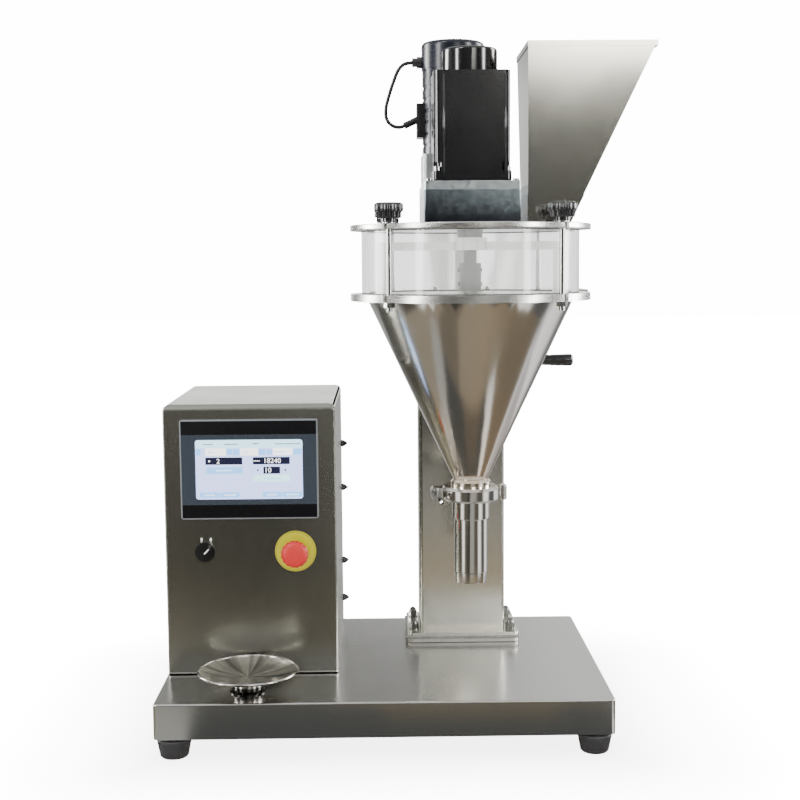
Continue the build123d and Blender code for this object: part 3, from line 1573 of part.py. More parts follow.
def terminal_box():
    # Flat box on the motor's left side, with a sleeve that points down towards the lead
    right = agitator_motor_x - agitator_motor_radius + terminal_depth / 2
    left = terminal_face()
    z = base_top + terminal_z
    box = block(left, right, pinion_y - terminal_width / 2, pinion_y + terminal_width / 2,
                z - terminal_height / 2, z + terminal_height / 2)
    sleeve = rod_x(lead_sleeve_radius, -lead_sleeve_length, terminal_depth / 2, 0, 0)
    box += sleeve_place() * sleeve
    box -= rod_z(agitator_motor_radius, z - terminal_height, z + terminal_height, agitator_motor_x,
                 pinion_y)
    bore = rod_x(lead_radius, -lead_sleeve_length - 1, lead_grip - lead_sleeve_length, 0, 0)
    return box - sleeve_place() * bore


def terminal_face():
    return agitator_motor_x - agitator_motor_radius - terminal_depth


def sleeve_place():
    # X runs along the sleeve, towards the box
    return Pos(terminal_face(), pinion_y, base_top + lead_sleeve_z) * Rot(0, -lead_sleeve_slope, 0)


# Lead from the gland down to the terminal box: straight runs with an arc at each turn
def lead_points():
    mouth = agitator_motor_x - agitator_cap_radius - motor_gland_length
    high = base_top + motor_gland_z
    points = [(mouth - left, pinion_y, high - drop) for left, drop in ((-lead_grip, 0), *lead_route)]
    end = sleeve_place() * Pos(lead_grip - lead_sleeve_length, 0, 0)
    return points + [tuple(end.position)]


def motor_lead():
    points = [Vector(*p) for p in lead_points()]
    radii = []
    for before, here, after in zip(points, points[1:], points[2:]):
        run_in = here - before
        run_out = after - here
        turn = math.radians(run_in.get_angle(run_out))
        radii.append(0.45 * min(run_in.length, run_out.length) / math.tan(turn / 2))
    print("lead radii", [round(r, 1) for r in radii])
    path = FilletPolyline(*points, radius=radii)
    section = Plane(origin=path @ 0, z_dir=path % 0) * Circle(lead_radius)
    lead = sweep(section, path=path)
    print("lead length", round(path.length, 1), "volume over section x length",
          round(lead.volume / (math.pi * lead_radius ** 2 * path.length), 4))
    return lead


# Inlet chute
def chute_section(z_share, margin):
    right = chute_low_right + (chute_top_right - chute_low_right) * z_share
    back = chute_low_back + (chute_top_back - chute_low_back) * z_share
    left = chute_left + margin
    front = chute_front + margin
    width = right - margin - left
    depth = back - margin - front
    return Pos(left + width / 2, front + depth / 2, cover_high + chute_height * z_share) * Rectangle(
        width, depth)


def inlet_chute():
    # Four-sided sheet hopper, wider at the top, with a hem round its mouth and a foot band
    outer = loft([chute_section(0, 0), chute_section(1, 0)])
    inner = loft([chute_section(0, chute_wall), chute_section(1, chute_wall)])
    high = cover_high + chute_height
    hem_low = high - chute_hem_height
    hem = block(chute_left - chute_band_step, chute_top_right + 0.1, chute_front - chute_band_step,
                chute_top_back + 0.1, hem_low, high)
    share = chute_band / chute_height
    band_outer = loft([chute_section(0, -chute_band_step), chute_section(share, -chute_band_step)])
    return outer + (hem + band_outer) - inner - chute_mouth(cover_high - 1, cover_high + 0.1, chute_wall)


def build():
    feet = foot_places()
    bolts = column_bolt_places()
    rods = rod_places()
    pieces = {
        "base_housing": base_housing(),
        "base_bottom_plate": base_bottom_plate(),
        "rubber_feet": group(rubber_foot(*p) for p in feet),
        "foot_bolts": group(make(*p) for make in (foot_washer, foot_bolt, foot_nut) for p in feet),
        "column_mount_plates": group([column_stiffener(), base_mount_plate()]),
        "column": group([column_flange(), column_tube(), lock_boss()]),
        "column_cap": column_cap(),
        "column_bearings": group([column_guide(), crank_bush(-1), crank_bush(1)]),
        "column_bolts": group(make(*p) for make in (column_bolt, column_washer, column_nut) for p in bolts),
        "lock_knob": lock_knob(),
        "crank_shaft": group([crank_shaft(), crank_collar(), rack_pinion()]),
        "crank_arm": group([crank_arm(), crank_grip_pin()]),
        "crank_grip": crank_grip(),
        "lift_post": lift_post(),
        "lift_rack": lift_rack(),
        "post_guide": post_guide(),
        "cabinet_shell": cabinet_shell(),
        "cabinet_rear_cover": cabinet_rear_cover(),
        "cabinet_screws": group([side_bolt(z) for z in side_bolt_heights]
                                + [cover_screw(*p) for p in cover_screw_places()]),
        "cabinet_electrics": group([cabinet_back_plate(), servo_drive(), power_supply(), panel_body()]),
        "rear_sockets": group([power_inlet(), cabinet_gland()]),
        "panel_bezel": panel_bezel(),
        "panel_screen": panel_screen(),
        "switch_bodies": group([selector_body(), estop_body()]),
        "selector_knob": selector_knob(),
        "estop_ring": estop_ring(),
        "estop_plunger": estop_plunger(),
        "estop_mushroom": estop_mushroom(),
        "catch_dish": catch_dish(),
        "filling_tip": filling_tip(),
        "filling_tube": filling_tube(),
        "filling_collar": filling_collar(),
        "clamp_rings": group([clamp_half(-1), clamp_half(1)]),
        "clamp_bolts": group([clamp_hinge_pin(), clamp_bolt()]),
        "clamp_wing_nut": clamp_wing_nut(),
        "hopper_cone": hopper_cone(),
        "hopper_plate": hopper_plate(),
        "hopper_ring": hopper_ring(),
        "hopper_gaskets": group([clamp_gasket()] + [ring_gasket_piece(z) for z in (plate_high, ring_high)]),
        "hopper_cover": hopper_cover(),
        "tie_rods": group(make(*p) for make in (tie_rod, tie_rod_nut, knob_washer) for p in rods),
        "head_screws": group([tail_screw(*p) for p in tail_screw_places()]
                             + [lid_screw(*p) for p in lid_screw_places()]
                             + [motor_screw(*p) for p in motor_screw_places()]),
        "gearbox_housing": gearbox_housing(),
        "gearbox_lid": gearbox_lid_plate(),
        "gear_bearings": group([ball_bearing(hopper_y, hollow_radius),
                                ball_bearing(pinion_y, agitator_shaft_radius)]),
        "agitator_gear": group([agitator_gear(), agitator_hollow_shaft()]),
        "agitator_frame": agitator_frame(),
        "agitator_pinion": group([agitator_pinion(), agitator_motor_shaft()]),
        "auger_motor": group([auger_motor(), encoder_cap()]),
        "auger_drive": group([auger_drive_shaft(), auger_coupling()]),
        "auger_screw": auger_screw(),
        "agitator_gearhead": agitator_gearhead(),
        "agitator_motor": group([agitator_motor(), agitator_motor_cap()]),
        "motor_terminals": group([motor_gland(), terminal_box()]),
        "motor_lead": motor_lead(),
        "inlet_chute": inlet_chute(),
    }
    for number, place in enumerate(rods, start=1):
        pieces[f"cover_knob_{number}"] = cover_knob(*place)
    return pieces


# The origin goes to the middle of the bottom of the whole machine's box
pieces = build()
box = group(pieces.values()).bounding_box()
to_origin = Location((-box.center().X, -box.center().Y, -box.min.Z))
print("moved by", to_origin.position)
os.makedirs("parts", exist_ok=True)
for name, piece in pieces.items():
    export_step(piece.moved(to_origin), f"parts/{name}.step")
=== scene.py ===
import bpy, bmesh, json, math
from mathutils import Matrix, Vector


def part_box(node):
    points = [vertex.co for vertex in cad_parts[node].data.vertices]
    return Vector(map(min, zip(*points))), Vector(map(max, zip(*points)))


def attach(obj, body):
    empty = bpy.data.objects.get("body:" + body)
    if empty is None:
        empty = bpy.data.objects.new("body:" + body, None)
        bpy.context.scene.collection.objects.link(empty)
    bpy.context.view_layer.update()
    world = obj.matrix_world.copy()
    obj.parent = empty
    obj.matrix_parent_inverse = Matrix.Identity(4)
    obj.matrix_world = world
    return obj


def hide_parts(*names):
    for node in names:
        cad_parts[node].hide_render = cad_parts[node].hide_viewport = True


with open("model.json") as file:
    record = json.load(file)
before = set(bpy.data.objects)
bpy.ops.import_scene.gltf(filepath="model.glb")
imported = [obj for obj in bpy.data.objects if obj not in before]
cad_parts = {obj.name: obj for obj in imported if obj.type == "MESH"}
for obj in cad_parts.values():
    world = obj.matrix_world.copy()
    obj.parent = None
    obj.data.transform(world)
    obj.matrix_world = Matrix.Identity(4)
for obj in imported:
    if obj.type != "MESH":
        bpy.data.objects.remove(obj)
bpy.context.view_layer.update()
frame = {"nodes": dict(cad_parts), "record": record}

nodes = frame["nodes"]
slotOf = {entry["node"]: entry["material_slot"] for entry in frame["record"]["subparts"]}
bodyOf = {node: body for body, members in frame["record"]["behaviour"]["bodies"].items() for node in members}
mm = 0.001
print("stage: frame loaded")


def addObject(name, data):
    made = bpy.data.objects.new(name, data)
    bpy.context.scene.collection.objects.link(made)
    return made


# camera, fitted to the photo's outlines
cameraSetup = {
    "place": (-0.03254, -1.99336, 0.68647),
    "pitchDown": 0.104,
    "yaw": -0.014,
    "roll": -0.008,
    "lens": 60.04,
    "sensor": 36.0,
    "farClip": 50.0,
}


def addCamera(setup):
    p, y, r = setup["pitchDown"], setup["yaw"], setup["roll"]
    ahead = Vector((-math.sin(y) * math.cos(p), math.cos(y) * math.cos(p), -math.sin(p)))
    side = Vector((math.cos(y), math.sin(y), 0))
    up = side.cross(ahead)
    right = side * math.cos(r) + up * math.sin(r)
    top = -side * math.sin(r) + up * math.cos(r)
    data = bpy.data.cameras.new("camera")
    data.lens = setup["lens"]
    data.sensor_width = setup["sensor"]
    data.clip_end = setup["farClip"]
    camera = addObject("camera", data)
    turn = Matrix((right, top, -ahead)).transposed().to_4x4()
    camera.matrix_world = Matrix.Translation(setup["place"]) @ turn
    bpy.context.scene.camera = camera


addCamera(cameraSetup)


# the agitator motor's lead: out of the gland, down beside the motor, into its terminal box
motorLead = {
    "route": [(23.45, 26.75, 978.5), (10.45, 26.75, 978.5), (1.85, 26.75, 974.3), (-4.75, 26.75, 965.1),
              (-9.35, 26.75, 953), (-14.35, 26.75, 939), (-18.55, 26.75, 925.5), (-22.05, 26.75, 912),
              (-22.05, 26.75, 898.5), (-17.35, 26.75, 889.9), (-8.95, 26.75, 884.6), (0.95, 26.75, 883.9),
              (10.76, 26.75, 888.58)],
    "exit": (0.01745, 0.02675, 0.9785),
    "length": 0.1426,
    "diameter": 0.0056,
    "roundSteps": 5,
    "alongSteps": 10,
}


def addLead(values):
    curve = bpy.data.curves.new("motor_cable", "CURVE")
    curve.dimensions = "3D"
    curve.bevel_depth = 1.0  # metres; the points' radius sets the real thickness, so the curve's box is right
    curve.bevel_resolution = values["roundSteps"]
    curve.resolution_u = values["alongSteps"]
    curve.use_fill_caps = True
    spline = curve.splines.new("NURBS")
    spline.points.add(len(values["route"]) - 1)
    for point, place in zip(spline.points, values["route"]):
        point.co = (*(c * mm for c in place), 1.0)
        point.radius = values["diameter"] / 2
    spline.order_u = 3
    spline.use_endpoint_u = True
    lead = addObject("motor_cable", curve)
    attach(lead, "lift_head")
    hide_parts("motor_lead")
    return lead


lead = addLead(motorLead)
print("stage: camera and motor lead")


# node trees written as plain expressions
class Wire:
    def __init__(self, tree, socket):
        self.tree, self.socket = tree, socket

    def maths(self, operation, other=None, flipped=False):
        node = self.tree.nodes.new("ShaderNodeMath")
        node.operation = operation
        pair = (other, self) if flipped else (self, other)
        for slot, value in zip(node.inputs, pair):
            plug(self.tree, slot, value)
        return Wire(self.tree, node.outputs[0])

    def __add__(self, other): return self.maths("ADD", other)
    def __radd__(self, other): return self.maths("ADD", other, True)
    def __sub__(self, other): return self.maths("SUBTRACT", other)
    def __rsub__(self, other): return self.maths("SUBTRACT", other, True)
    def __mul__(self, other): return self.maths("MULTIPLY", other)
    def __rmul__(self, other): return self.maths("MULTIPLY", other, True)
    def __truediv__(self, other): return self.maths("DIVIDE", other)
    def __rtruediv__(self, other): return self.maths("DIVIDE", other, True)
    def __gt__(self, other): return self.maths("GREATER_THAN", other)
    def __lt__(self, other): return self.maths("LESS_THAN", other)
    def __pow__(self, other): return self.maths("POWER", other)
    def __abs__(self): return self.maths("ABSOLUTE")


def plug(tree, slot, value):
    if isinstance(value, Wire):
        tree.links.new(value.socket, slot)
    elif value is not None:
        slot.default_value = value


class Graph:
    def node(self, kind, settings=None, inputs=None, out=0):
        made = self.tree.nodes.new(kind)
        for key, value in (settings or {}).items():
            if key == "stops":
                self.setStops(made.color_ramp, value)
            else:
                setattr(made, key, value)
        for key, value in (inputs or {}).items():
            plug(self.tree, made.inputs[key], value)
        return Wire(self.tree, made.outputs[out])

    def setStops(self, ramp, stops):
        while len(ramp.elements) > 1:
            ramp.elements.remove(ramp.elements[-1])
        for index, (place, colour) in enumerate(stops):
            stop = ramp.elements[0] if index == 0 else ramp.elements.new(place)
            stop.position = place
            stop.color = (*(colour if isinstance(colour, tuple) else (colour,) * 3), 1.0)

    def ramp(self, fac, stops):
        return self.node("ShaderNodeValToRGB", {"stops": stops}, {"Fac": fac})

    def span(self, value, low, high, outLow=0.0, outHigh=1.0):
        return self.node("ShaderNodeMapRange", {"clamp": True}, {
            "Value": value, "From Min": low, "From Max": high, "To Min": outLow, "To Max": outHigh})

    def blend(self, fac, a, b):
        a = (*a, 1.0) if isinstance(a, tuple) else a
        b = (*b, 1.0) if isinstance(b, tuple) else b
        return self.node("ShaderNodeMix", {"data_type": "RGBA"}, {0: fac, 6: a, 7: b}, out=2)


class Finish(Graph):
    def __init__(self, name, colour=(0.8, 0.8, 0.8), rough=0.4, metal=0.0, constants=None):
        self.material = bpy.data.materials.new(name)
        self.material.use_nodes = True
        self.tree = self.material.node_tree
        self.shader = self.tree.nodes["Principled BSDF"]
        self.set("Base Color", (*colour, 1.0))
        self.set("Roughness", rough)
        self.set("Metallic", metal)
        for key, value in (constants or {}).items():
            self.set(key, value)

    def set(self, name, value):
        plug(self.tree, self.shader.inputs[name], value)

    def spot(self, scale=(1, 1, 1)):
        raw = self.node("ShaderNodeTexCoord", out=3)  # object coordinates
        return self.node("ShaderNodeMapping", inputs={"Vector": raw, "Scale": scale})

    def axis(self, which):
        raw = self.node("ShaderNodeTexCoord", out=3)
        return self.node("ShaderNodeSeparateXYZ", inputs={"Vector": raw}, out=which)

    def radius(self, x, y, first=0, second=1):
        return ((self.axis(first) - x) ** 2.0 + (self.axis(second) - y) ** 2.0) ** 0.5

    def noise(self, scale, detail=3.0, rough=0.55, stretch=(1, 1, 1)):
        return self.node("ShaderNodeTexNoise", inputs={
            "Vector": self.spot(stretch), "Scale": scale, "Detail": detail, "Roughness": rough})

    def shade(self, tone, level):
        return self.blend(level, (0.0, 0.0, 0.0), tone)  # the tone at a level from 0 to 1

    def streaks(self, along, scale, detail):
        return self.node("ShaderNodeTexNoise", {"noise_dimensions": "1D"}, {
            "W": along, "Scale": scale, "Detail": detail})

    def bump(self, height, strength=0.2, distance=0.001):
        self.set("Normal", self.node("ShaderNodeBump", inputs={
            "Height": height, "Strength": strength, "Distance": distance}))


# finishes
# painted shadow in the gap under a standing sheet, painted highlight on its fold
footShadowAndHighlight = {"gapHigh": 0.0018, "gapShadowTone": (0.004, 0.004, 0.004), "foldMiddle": 0.0028, "foldHalf": 0.0009,
            "foldHighlightTone": (0.85, 0.84, 0.78)}


# fine grain along one axis, faint hand marks; the height span (from, to, level, level) paints shade darker higher up,
# foot its low edge
def brushedSteel(name, tone, along, rough=0.28, grain=0.05, drift=0.10, smear=0.10, edge=1.0, shadeAbove=None,
                 foot=None):
    f = Finish(name, metal=1.0, constants={"Specular Tint": (edge, edge, edge, 1.0)})
    lines = f.noise(11.0, 4.0, 0.7, tuple(1.0 if axis == along else 90.0 for axis in "xyz"))
    hand = f.noise(6.0, 3.0, 0.5)
    cloud = f.noise(1.6, 2.0, 0.5)
    level = 1.0 - drift * 0.5 + drift * cloud + grain * (lines - 0.5)
    # painted shade: the sheet darker higher up
    if shadeAbove:
        level = level * f.span(f.axis(2), *shadeAbove)
    colour = f.shade(tone, level)
    if foot:  # painted shadow in the gap where the sheet stands, painted highlight on the fold over it
        foldHighlight = abs(f.axis(2) - foot - footShadowAndHighlight["foldMiddle"]) < footShadowAndHighlight["foldHalf"]
        gapShadow = f.axis(2) < foot + footShadowAndHighlight["gapHigh"]
        colour = f.blend(gapShadow, f.blend(foldHighlight, colour, footShadowAndHighlight["foldHighlightTone"]), footShadowAndHighlight["gapShadowTone"])
    f.set("Base Color", colour)
    f.set("Roughness", rough + smear * (hand - 0.5) + 0.08 * (lines - 0.5))
    f.bump(lines, 0.04, 0.0004)
    return f.material


def polishedSteel(name, tone=(0.82, 0.80, 0.76), rough=0.09, lines=0.03, stretch=(2.0, 2.0, 700.0)):
    f = Finish(name, metal=1.0)  # near mirror, turning lines and fingermarks
    haze = f.noise(22.0, 4.0, 0.6)
    marks = f.span(f.noise(55.0, 5.0, 0.7), 0.55, 0.75)
    f.set("Base Color", f.shade(tone, 0.92 + 0.08 * haze))
    f.set("Roughness", rough + 0.05 * haze + 0.05 * marks)
    f.bump(f.noise(1.0, 2.0, 0.5, stretch), lines, 0.0003)
    return f.material


def coneSteel(name, tone, low, high, warmReflectionTone=(0.98, 0.86, 0.70)):
    f = Finish(name, metal=1.0)  # rolled and polished cone, grain running down it, a painted warm reflection towards its mouth
    streak = f.noise(26.0, 3.0, 0.6, (1.0, 1.0, 0.06))
    haze = f.noise(16.0, 4.0, 0.6)
    warmReflection = f.span(f.axis(2), low, low + 0.6 * (high - low), 1.0, 0.0)
    f.set("Base Color", f.shade(f.blend(warmReflection, tone, warmReflectionTone), 0.86 + 0.10 * haze + 0.08 * streak))
    f.set("Roughness", 0.10 + 0.06 * haze + 0.05 * streak)
    f.bump(streak + 0.25 * haze, 0.10, 0.0010)
    return f.material


# painted spoke highlights in the pan and painted shadow on the stem below it
spunDish = {"panDepth": 0.020, "stemShadeFade": 0.004, "stemShadeLevel": 0.05, "spokeHighlights": 2.6, "ringsPerMetre": 2600.0}


def dishSteel(name, centre, high, tone=(0.84, 0.81, 0.74)):
    f = Finish(name, metal=1.0)  # turning rings about its own axis, painted spoke highlights round it, painted shadow darkening the stem
    around = (f.axis(1) - centre[1]).maths("ARCTAN2", f.axis(0) - centre[0])
    spokeHighlights = f.streaks(around, spunDish["spokeHighlights"], 3.0)
    rings = f.streaks(f.radius(*centre) * spunDish["ringsPerMetre"], 1.0, 2.0)
    pan = high - spunDish["panDepth"]
    stemShade = f.span(f.axis(2), pan - spunDish["stemShadeFade"], pan, spunDish["stemShadeLevel"], 1.0)
    level = f.span(spokeHighlights, 0.36, 0.64, 0.34, 1.25) * stemShade
    haze = f.noise(18.0, 4.0, 0.6)
    f.set("Base Color", f.shade(tone, level * (0.84 + 0.10 * haze + 0.12 * rings)))
    f.set("Roughness", 0.12 + 0.08 * haze)
    f.bump(rings, 0.16, 0.0006)
    return f.material


# zinc crystals, each in its own grey; each painted shade entry is (axis, from, to, level, level) towards the dark
# tone
def zincPlate(name, tone, shadeFade=(), shadeTone=(0.010, 0.012, 0.018)):
    f = Finish(name, metal=1.0)
    cells = f.node("ShaderNodeTexVoronoi", {"feature": "F1"}, {"Vector": f.spot(), "Scale": 210.0}, out=1)
    grey = f.node("ShaderNodeSeparateColor", inputs={"Color": cells})
    cloud = f.noise(24.0, 4.0, 0.65)
    patch = f.noise(7.0, 4.0, 0.6)
    colour = f.ramp(0.35 * grey + 0.35 * cloud + 0.3 * patch, [
        (0.3, tuple(0.90 * c for c in tone)), (0.5, tone), (0.7, tuple(1.14 * c for c in tone))])
    # painted shade blended over the zinc along each given axis
    for axis, *levels in shadeFade:
        colour = f.blend(f.span(f.axis(axis) + 0.02 * (cloud - 0.5), *levels), shadeTone, colour)
    f.set("Base Color", colour)
    f.set("Roughness", 0.17 + 0.05 * grey + 0.06 * patch)
    f.bump(0.10 * grey + cloud, 0.022, 0.0008)
    return f.material


def castMetal(name, tone=(0.62, 0.63, 0.64), rough=0.42):
    f = Finish(name, metal=0.9)
    grain = f.noise(260.0, 4.0, 0.7)
    wash = f.noise(9.0, 3.0, 0.5)
    f.set("Base Color", f.shade(tone, 0.84 + 0.2 * wash))
    f.set("Roughness", rough + 0.15 * (grain - 0.5))
    f.bump(grain, 0.14, 0.0006)
    return f.material


def machinedSteel(name, tone=(0.34, 0.34, 0.33)):
    f = Finish(name, metal=1.0)
    turnLines = f.noise(1.0, 3.0, 0.6, (40.0, 40.0, 900.0))
    oil = f.noise(20.0, 4.0, 0.6)
    f.set("Base Color", f.shade(tone, 0.75 + 0.35 * oil))
    f.set("Roughness", 0.26 + 0.2 * oil)
    f.bump(turnLines, 0.12, 0.0004)
    return f.material


def enamel(name, tone, rough=0.14, coat=0.6, dust=0.012):
    f = Finish(name, constants={"Coat Weight": coat, "Coat Roughness": 0.05})  # sprayed gloss, light orange peel
    wash = f.noise(11.0, 4.0, 0.6)
    f.set("Base Color", f.blend(f.span(wash, 0.45, 0.9), tone, tuple(c + dust for c in tone)))
    f.set("Roughness", rough + 0.10 * wash)
    f.bump(f.noise(150.0, 2.0, 0.5), 0.05, 0.0006)
    return f.material


def mouldedPlastic(name, tone, rough=0.38, grain=420.0, coat=0.0):
    f = Finish(name, constants={"Coat Weight": coat, "Coat Roughness": 0.08})
    speck = f.noise(grain, 3.0, 0.6)
    wear = f.noise(14.0, 4.0, 0.6)
    light = tuple(min(1.0, c * 1.18 + 0.006) for c in tone)
    f.set("Base Color", f.blend(f.span(wear, 0.35, 0.75), tone, light))
    f.set("Roughness", rough + 0.12 * (wear - 0.5) + 0.06 * speck)
    f.bump(speck, 0.10, 0.0004)
    return f.material


def rubber(name, tone=(0.022, 0.022, 0.024), dustTone=(0.065, 0.065, 0.068)):
    f = Finish(name)
    grain = f.noise(320.0, 4.0, 0.7)
    dust = f.noise(18.0, 4.0, 0.6)
    f.set("Base Color", f.blend(f.span(dust, 0.5, 0.85), tone, dustTone))
    f.set("Roughness", 0.5 + 0.2 * dust)
    f.bump(grain, 0.2, 0.0005)
    return f.material


def clearAcrylic(name):
    f = Finish(name, (0.97, 0.985, 0.98), 0.03, constants={"Transmission Weight": 1.0, "IOR": 1.45})
    f.set("Roughness", 0.02 + 0.05 * f.span(f.noise(30.0, 4.0, 0.7, (1, 1, 4)), 0.55, 0.8))
    return f.material


panelTones = {"side": (0.022, 0.031, 0.044), "band": (0.004, 0.004, 0.005), "topBand": 0.0220, "footBand": 0.0215,
              "rim": (0.16, 0.17, 0.18), "rimWidth": 0.0022}


def panelFrame(name, values):
    f = Finish(name)  # two gloss black bands over a slate plastic, a painted highlight round the rim
    low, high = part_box("panel_bezel")
    height = f.axis(2)
    band = (height > high[2] - values["topBand"]) + (height < low[2] + values["footBand"])
    wear = f.noise(14.0, 4.0, 0.6)
    inX = (high[0] - low[0]) / 2 - abs(f.axis(0) - (low[0] + high[0]) / 2)
    inZ = (high[2] - low[2]) / 2 - abs(height - (low[2] + high[2]) / 2)
    # painted highlight: a lighter band round the bezel's rim
    rim = inX.maths("MINIMUM", inZ) < values["rimWidth"]
    face = f.blend(band, f.shade(values["side"], 0.9 + 0.25 * wear), values["band"])
    f.set("Base Color", f.blend(rim, face, values["rim"]))
    f.set("Roughness", 0.34 - 0.22 * band + 0.06 * wear)
    f.bump((1.0 - band) * f.noise(420.0, 3.0, 0.6), 0.08, 0.0004)
    return f.material


def platePair(name, low, high, tone=(0.66, 0.65, 0.61)):
    f = Finish(name, metal=1.0)  # two plates bolted together, painted shade where they meet
    joint = abs(f.axis(2) - (low + high) / 2)
    lines = f.noise(14.0, 4.0, 0.6, (1.0, 60.0, 60.0))
    f.set("Base Color", f.shade(tone, f.span(joint, 0.0004, 0.0011, 0.05, 1.0) * (0.9 + 0.15 * lines)))
    f.set("Roughness", 0.24 + 0.10 * lines)
    f.bump(lines, 0.10, 0.0004)
    return f.material


stopDisc = {"lineFrom": 0.0282, "lineTo": 0.0287, "lineTone": (0.05, 0.045, 0.01)}


def ringYellow(name, centre, tone=(0.50, 0.45, 0.0)):
    f = Finish(name)  # printed disc: a dark line just inside its edge
    away = f.radius(*centre, 0, 2)
    line = (away > stopDisc["lineFrom"]) * (away < stopDisc["lineTo"])
    wear = f.noise(40.0, 4.0, 0.6)
    f.set("Base Color", f.blend(line, f.shade(tone, 0.88 + 0.18 * wear), stopDisc["lineTone"]))
    f.set("Roughness", 0.32 + 0.12 * wear)
    f.bump(f.noise(300.0, 3.0, 0.6), 0.05, 0.0003)
    return f.material


def middle(node):
    low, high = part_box(node)
    return (Vector(low) + Vector(high)) / 2


dishMiddle, stopMiddle = middle("catch_dish"), middle("estop_ring")
gearLow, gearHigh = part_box("gearbox_housing")
# gearbox housing: painted shade, darker towards its bottom and its left
gearboxShade = ((2, gearLow[2] + 0.006, gearHigh[2], 0.10, 0.95), (0, gearLow[0], gearHigh[0], 0.40, 1.0))
finishes = {
    "brushed_steel": brushedSteel("brushedSheet", (0.60, 0.595, 0.575), "x", rough=0.20, grain=0.03, drift=0.08,
                                  smear=0.06),
    "cabinet_steel": brushedSteel("cabinetSheet", (0.345, 0.345, 0.308), "z", rough=0.24, grain=0.03, drift=0.14,
                                  smear=0.08, foot=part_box("cabinet_shell")[0][2]),
    "polished_steel": polishedSteel("polishedSteel"),
    "satin_steel": brushedSteel("satinSheet", (0.80, 0.795, 0.765), "z", rough=0.26, grain=0.04, drift=0.12,
                                 smear=0.12),
    "bolt_steel": polishedSteel("boltSteel", (0.50, 0.50, 0.485), rough=0.11),
    "cast_aluminium": castMetal("castAluminium"),
    "machine_steel": machinedSteel("machinedSteel"),
    "black_rubber": rubber("footRubber"),
    # the seal is real; its dark grey tone is painted shade, the shadow line under the cover plate
    "silicone": mouldedPlastic("siliconeSealShade", (0.085, 0.085, 0.080), rough=0.45),
    "clear_acrylic": clearAcrylic("clearAcrylic"),
    "black_motor": enamel("blackEnamel", (0.004, 0.004, 0.0045), rough=0.10, dust=0.004),
    "navy_motor": enamel("navyEnamel", (0.004, 0.006, 0.014), rough=0.22, coat=0.0, dust=0.004),
    "black_plastic": mouldedPlastic("blackPlastic", (0.005, 0.005, 0.0055), rough=0.20, coat=0.8),
    "panel_plastic": panelFrame("panelFrame", panelTones),
    "panel_glass": mouldedPlastic("panelGlass", (0.02, 0.02, 0.03), rough=0.12),
    "stop_red": mouldedPlastic("stopRed", (0.47, 0.012, 0.010), rough=0.34),
    "stop_yellow": ringYellow("stopYellow", (stopMiddle.x, stopMiddle.z)),
    "nylon": mouldedPlastic("nylon", (0.80, 0.78, 0.70), rough=0.45),
    "lead_black": mouldedPlastic("cableSheath", (0.010, 0.010, 0.011), rough=0.32),
    "grey_electrics": castMetal("greyElectrics", (0.40, 0.41, 0.42), rough=0.5),
}
ownFinish = {
    "hopper_cone": coneSteel("coneSteel", (0.74, 0.715, 0.68), *(corner[2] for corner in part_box("hopper_cone"))),
    "catch_dish": dishSteel("dishSteel", (dishMiddle.x, dishMiddle.y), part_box("catch_dish")[1][2]),
    # column: painted shade under the plates, darker towards its top
    "column": brushedSteel("columnSheet", (0.84, 0.83, 0.755), "z", rough=0.20, grain=0.05, drift=0.10, smear=0.12,
                           shadeAbove=(0.17, 0.43, 1.0, 0.30)),
    "inlet_chute": brushedSteel("chuteSheet", (0.715, 0.70, 0.635), "z", rough=0.09, grain=0.05, drift=0.20,
                                smear=0.10, edge=0.2),
    "gearbox_lid": zincPlate("zincLid", (0.62, 0.68, 0.71)),
    "gearbox_housing": zincPlate("zincHousing", (0.42, 0.49, 0.54), gearboxShade),
    "column_bolts": polishedSteel("acornSteel", (0.21, 0.21, 0.20), rough=0.10),
    "column_mount_plates": platePair("mountPlates", *(corner[2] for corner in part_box("column_mount_plates"))),
}
lead.data.materials.append(finishes["lead_black"])
for node in nodes:
    mesh = nodes[node].data
    mesh.materials.clear()
    mesh.materials.append(ownFinish.get(node) or finishes[slotOf[node]])
print("stage: finishes on every node")


# meshes
def bakeMesh(piece):
    graph = bpy.context.evaluated_depsgraph_get()
    mesh = bpy.data.meshes.new_from_object(
        piece.evaluated_get(graph), preserve_all_data_layers=True, depsgraph=graph)
    piece.modifiers.clear()
    piece.data = mesh
    return piece


def seat(piece, body, slot, *replaced):
    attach(piece, body)
    if replaced:
        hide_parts(*replaced)
    return piece


smoothing = {"merge": 1e-5, "sharp": 0.6}
quarterTurn = Matrix.Rotation(math.pi / 2, 4, "X")  # from upright to facing the front


def smoothCopy(node):
    mesh = nodes[node].data.copy()
    form = bmesh.new()
    form.from_mesh(mesh)
    bmesh.ops.remove_doubles(form, verts=form.verts, dist=smoothing["merge"])
    for face in form.faces:
        face.smooth = True
    for edge in form.edges:
        edge.smooth = len(edge.link_faces) == 2 and edge.calc_face_angle(math.pi) < smoothing["sharp"]
    form.to_mesh(mesh)
    form.free()
    piece = addObject(node + "_finished", mesh)
    weighted = piece.modifiers.new("weighted", "WEIGHTED_NORMAL")
    weighted.keep_sharp = True
    return seat(bakeMesh(piece), bodyOf[node], slotOf[node], node)


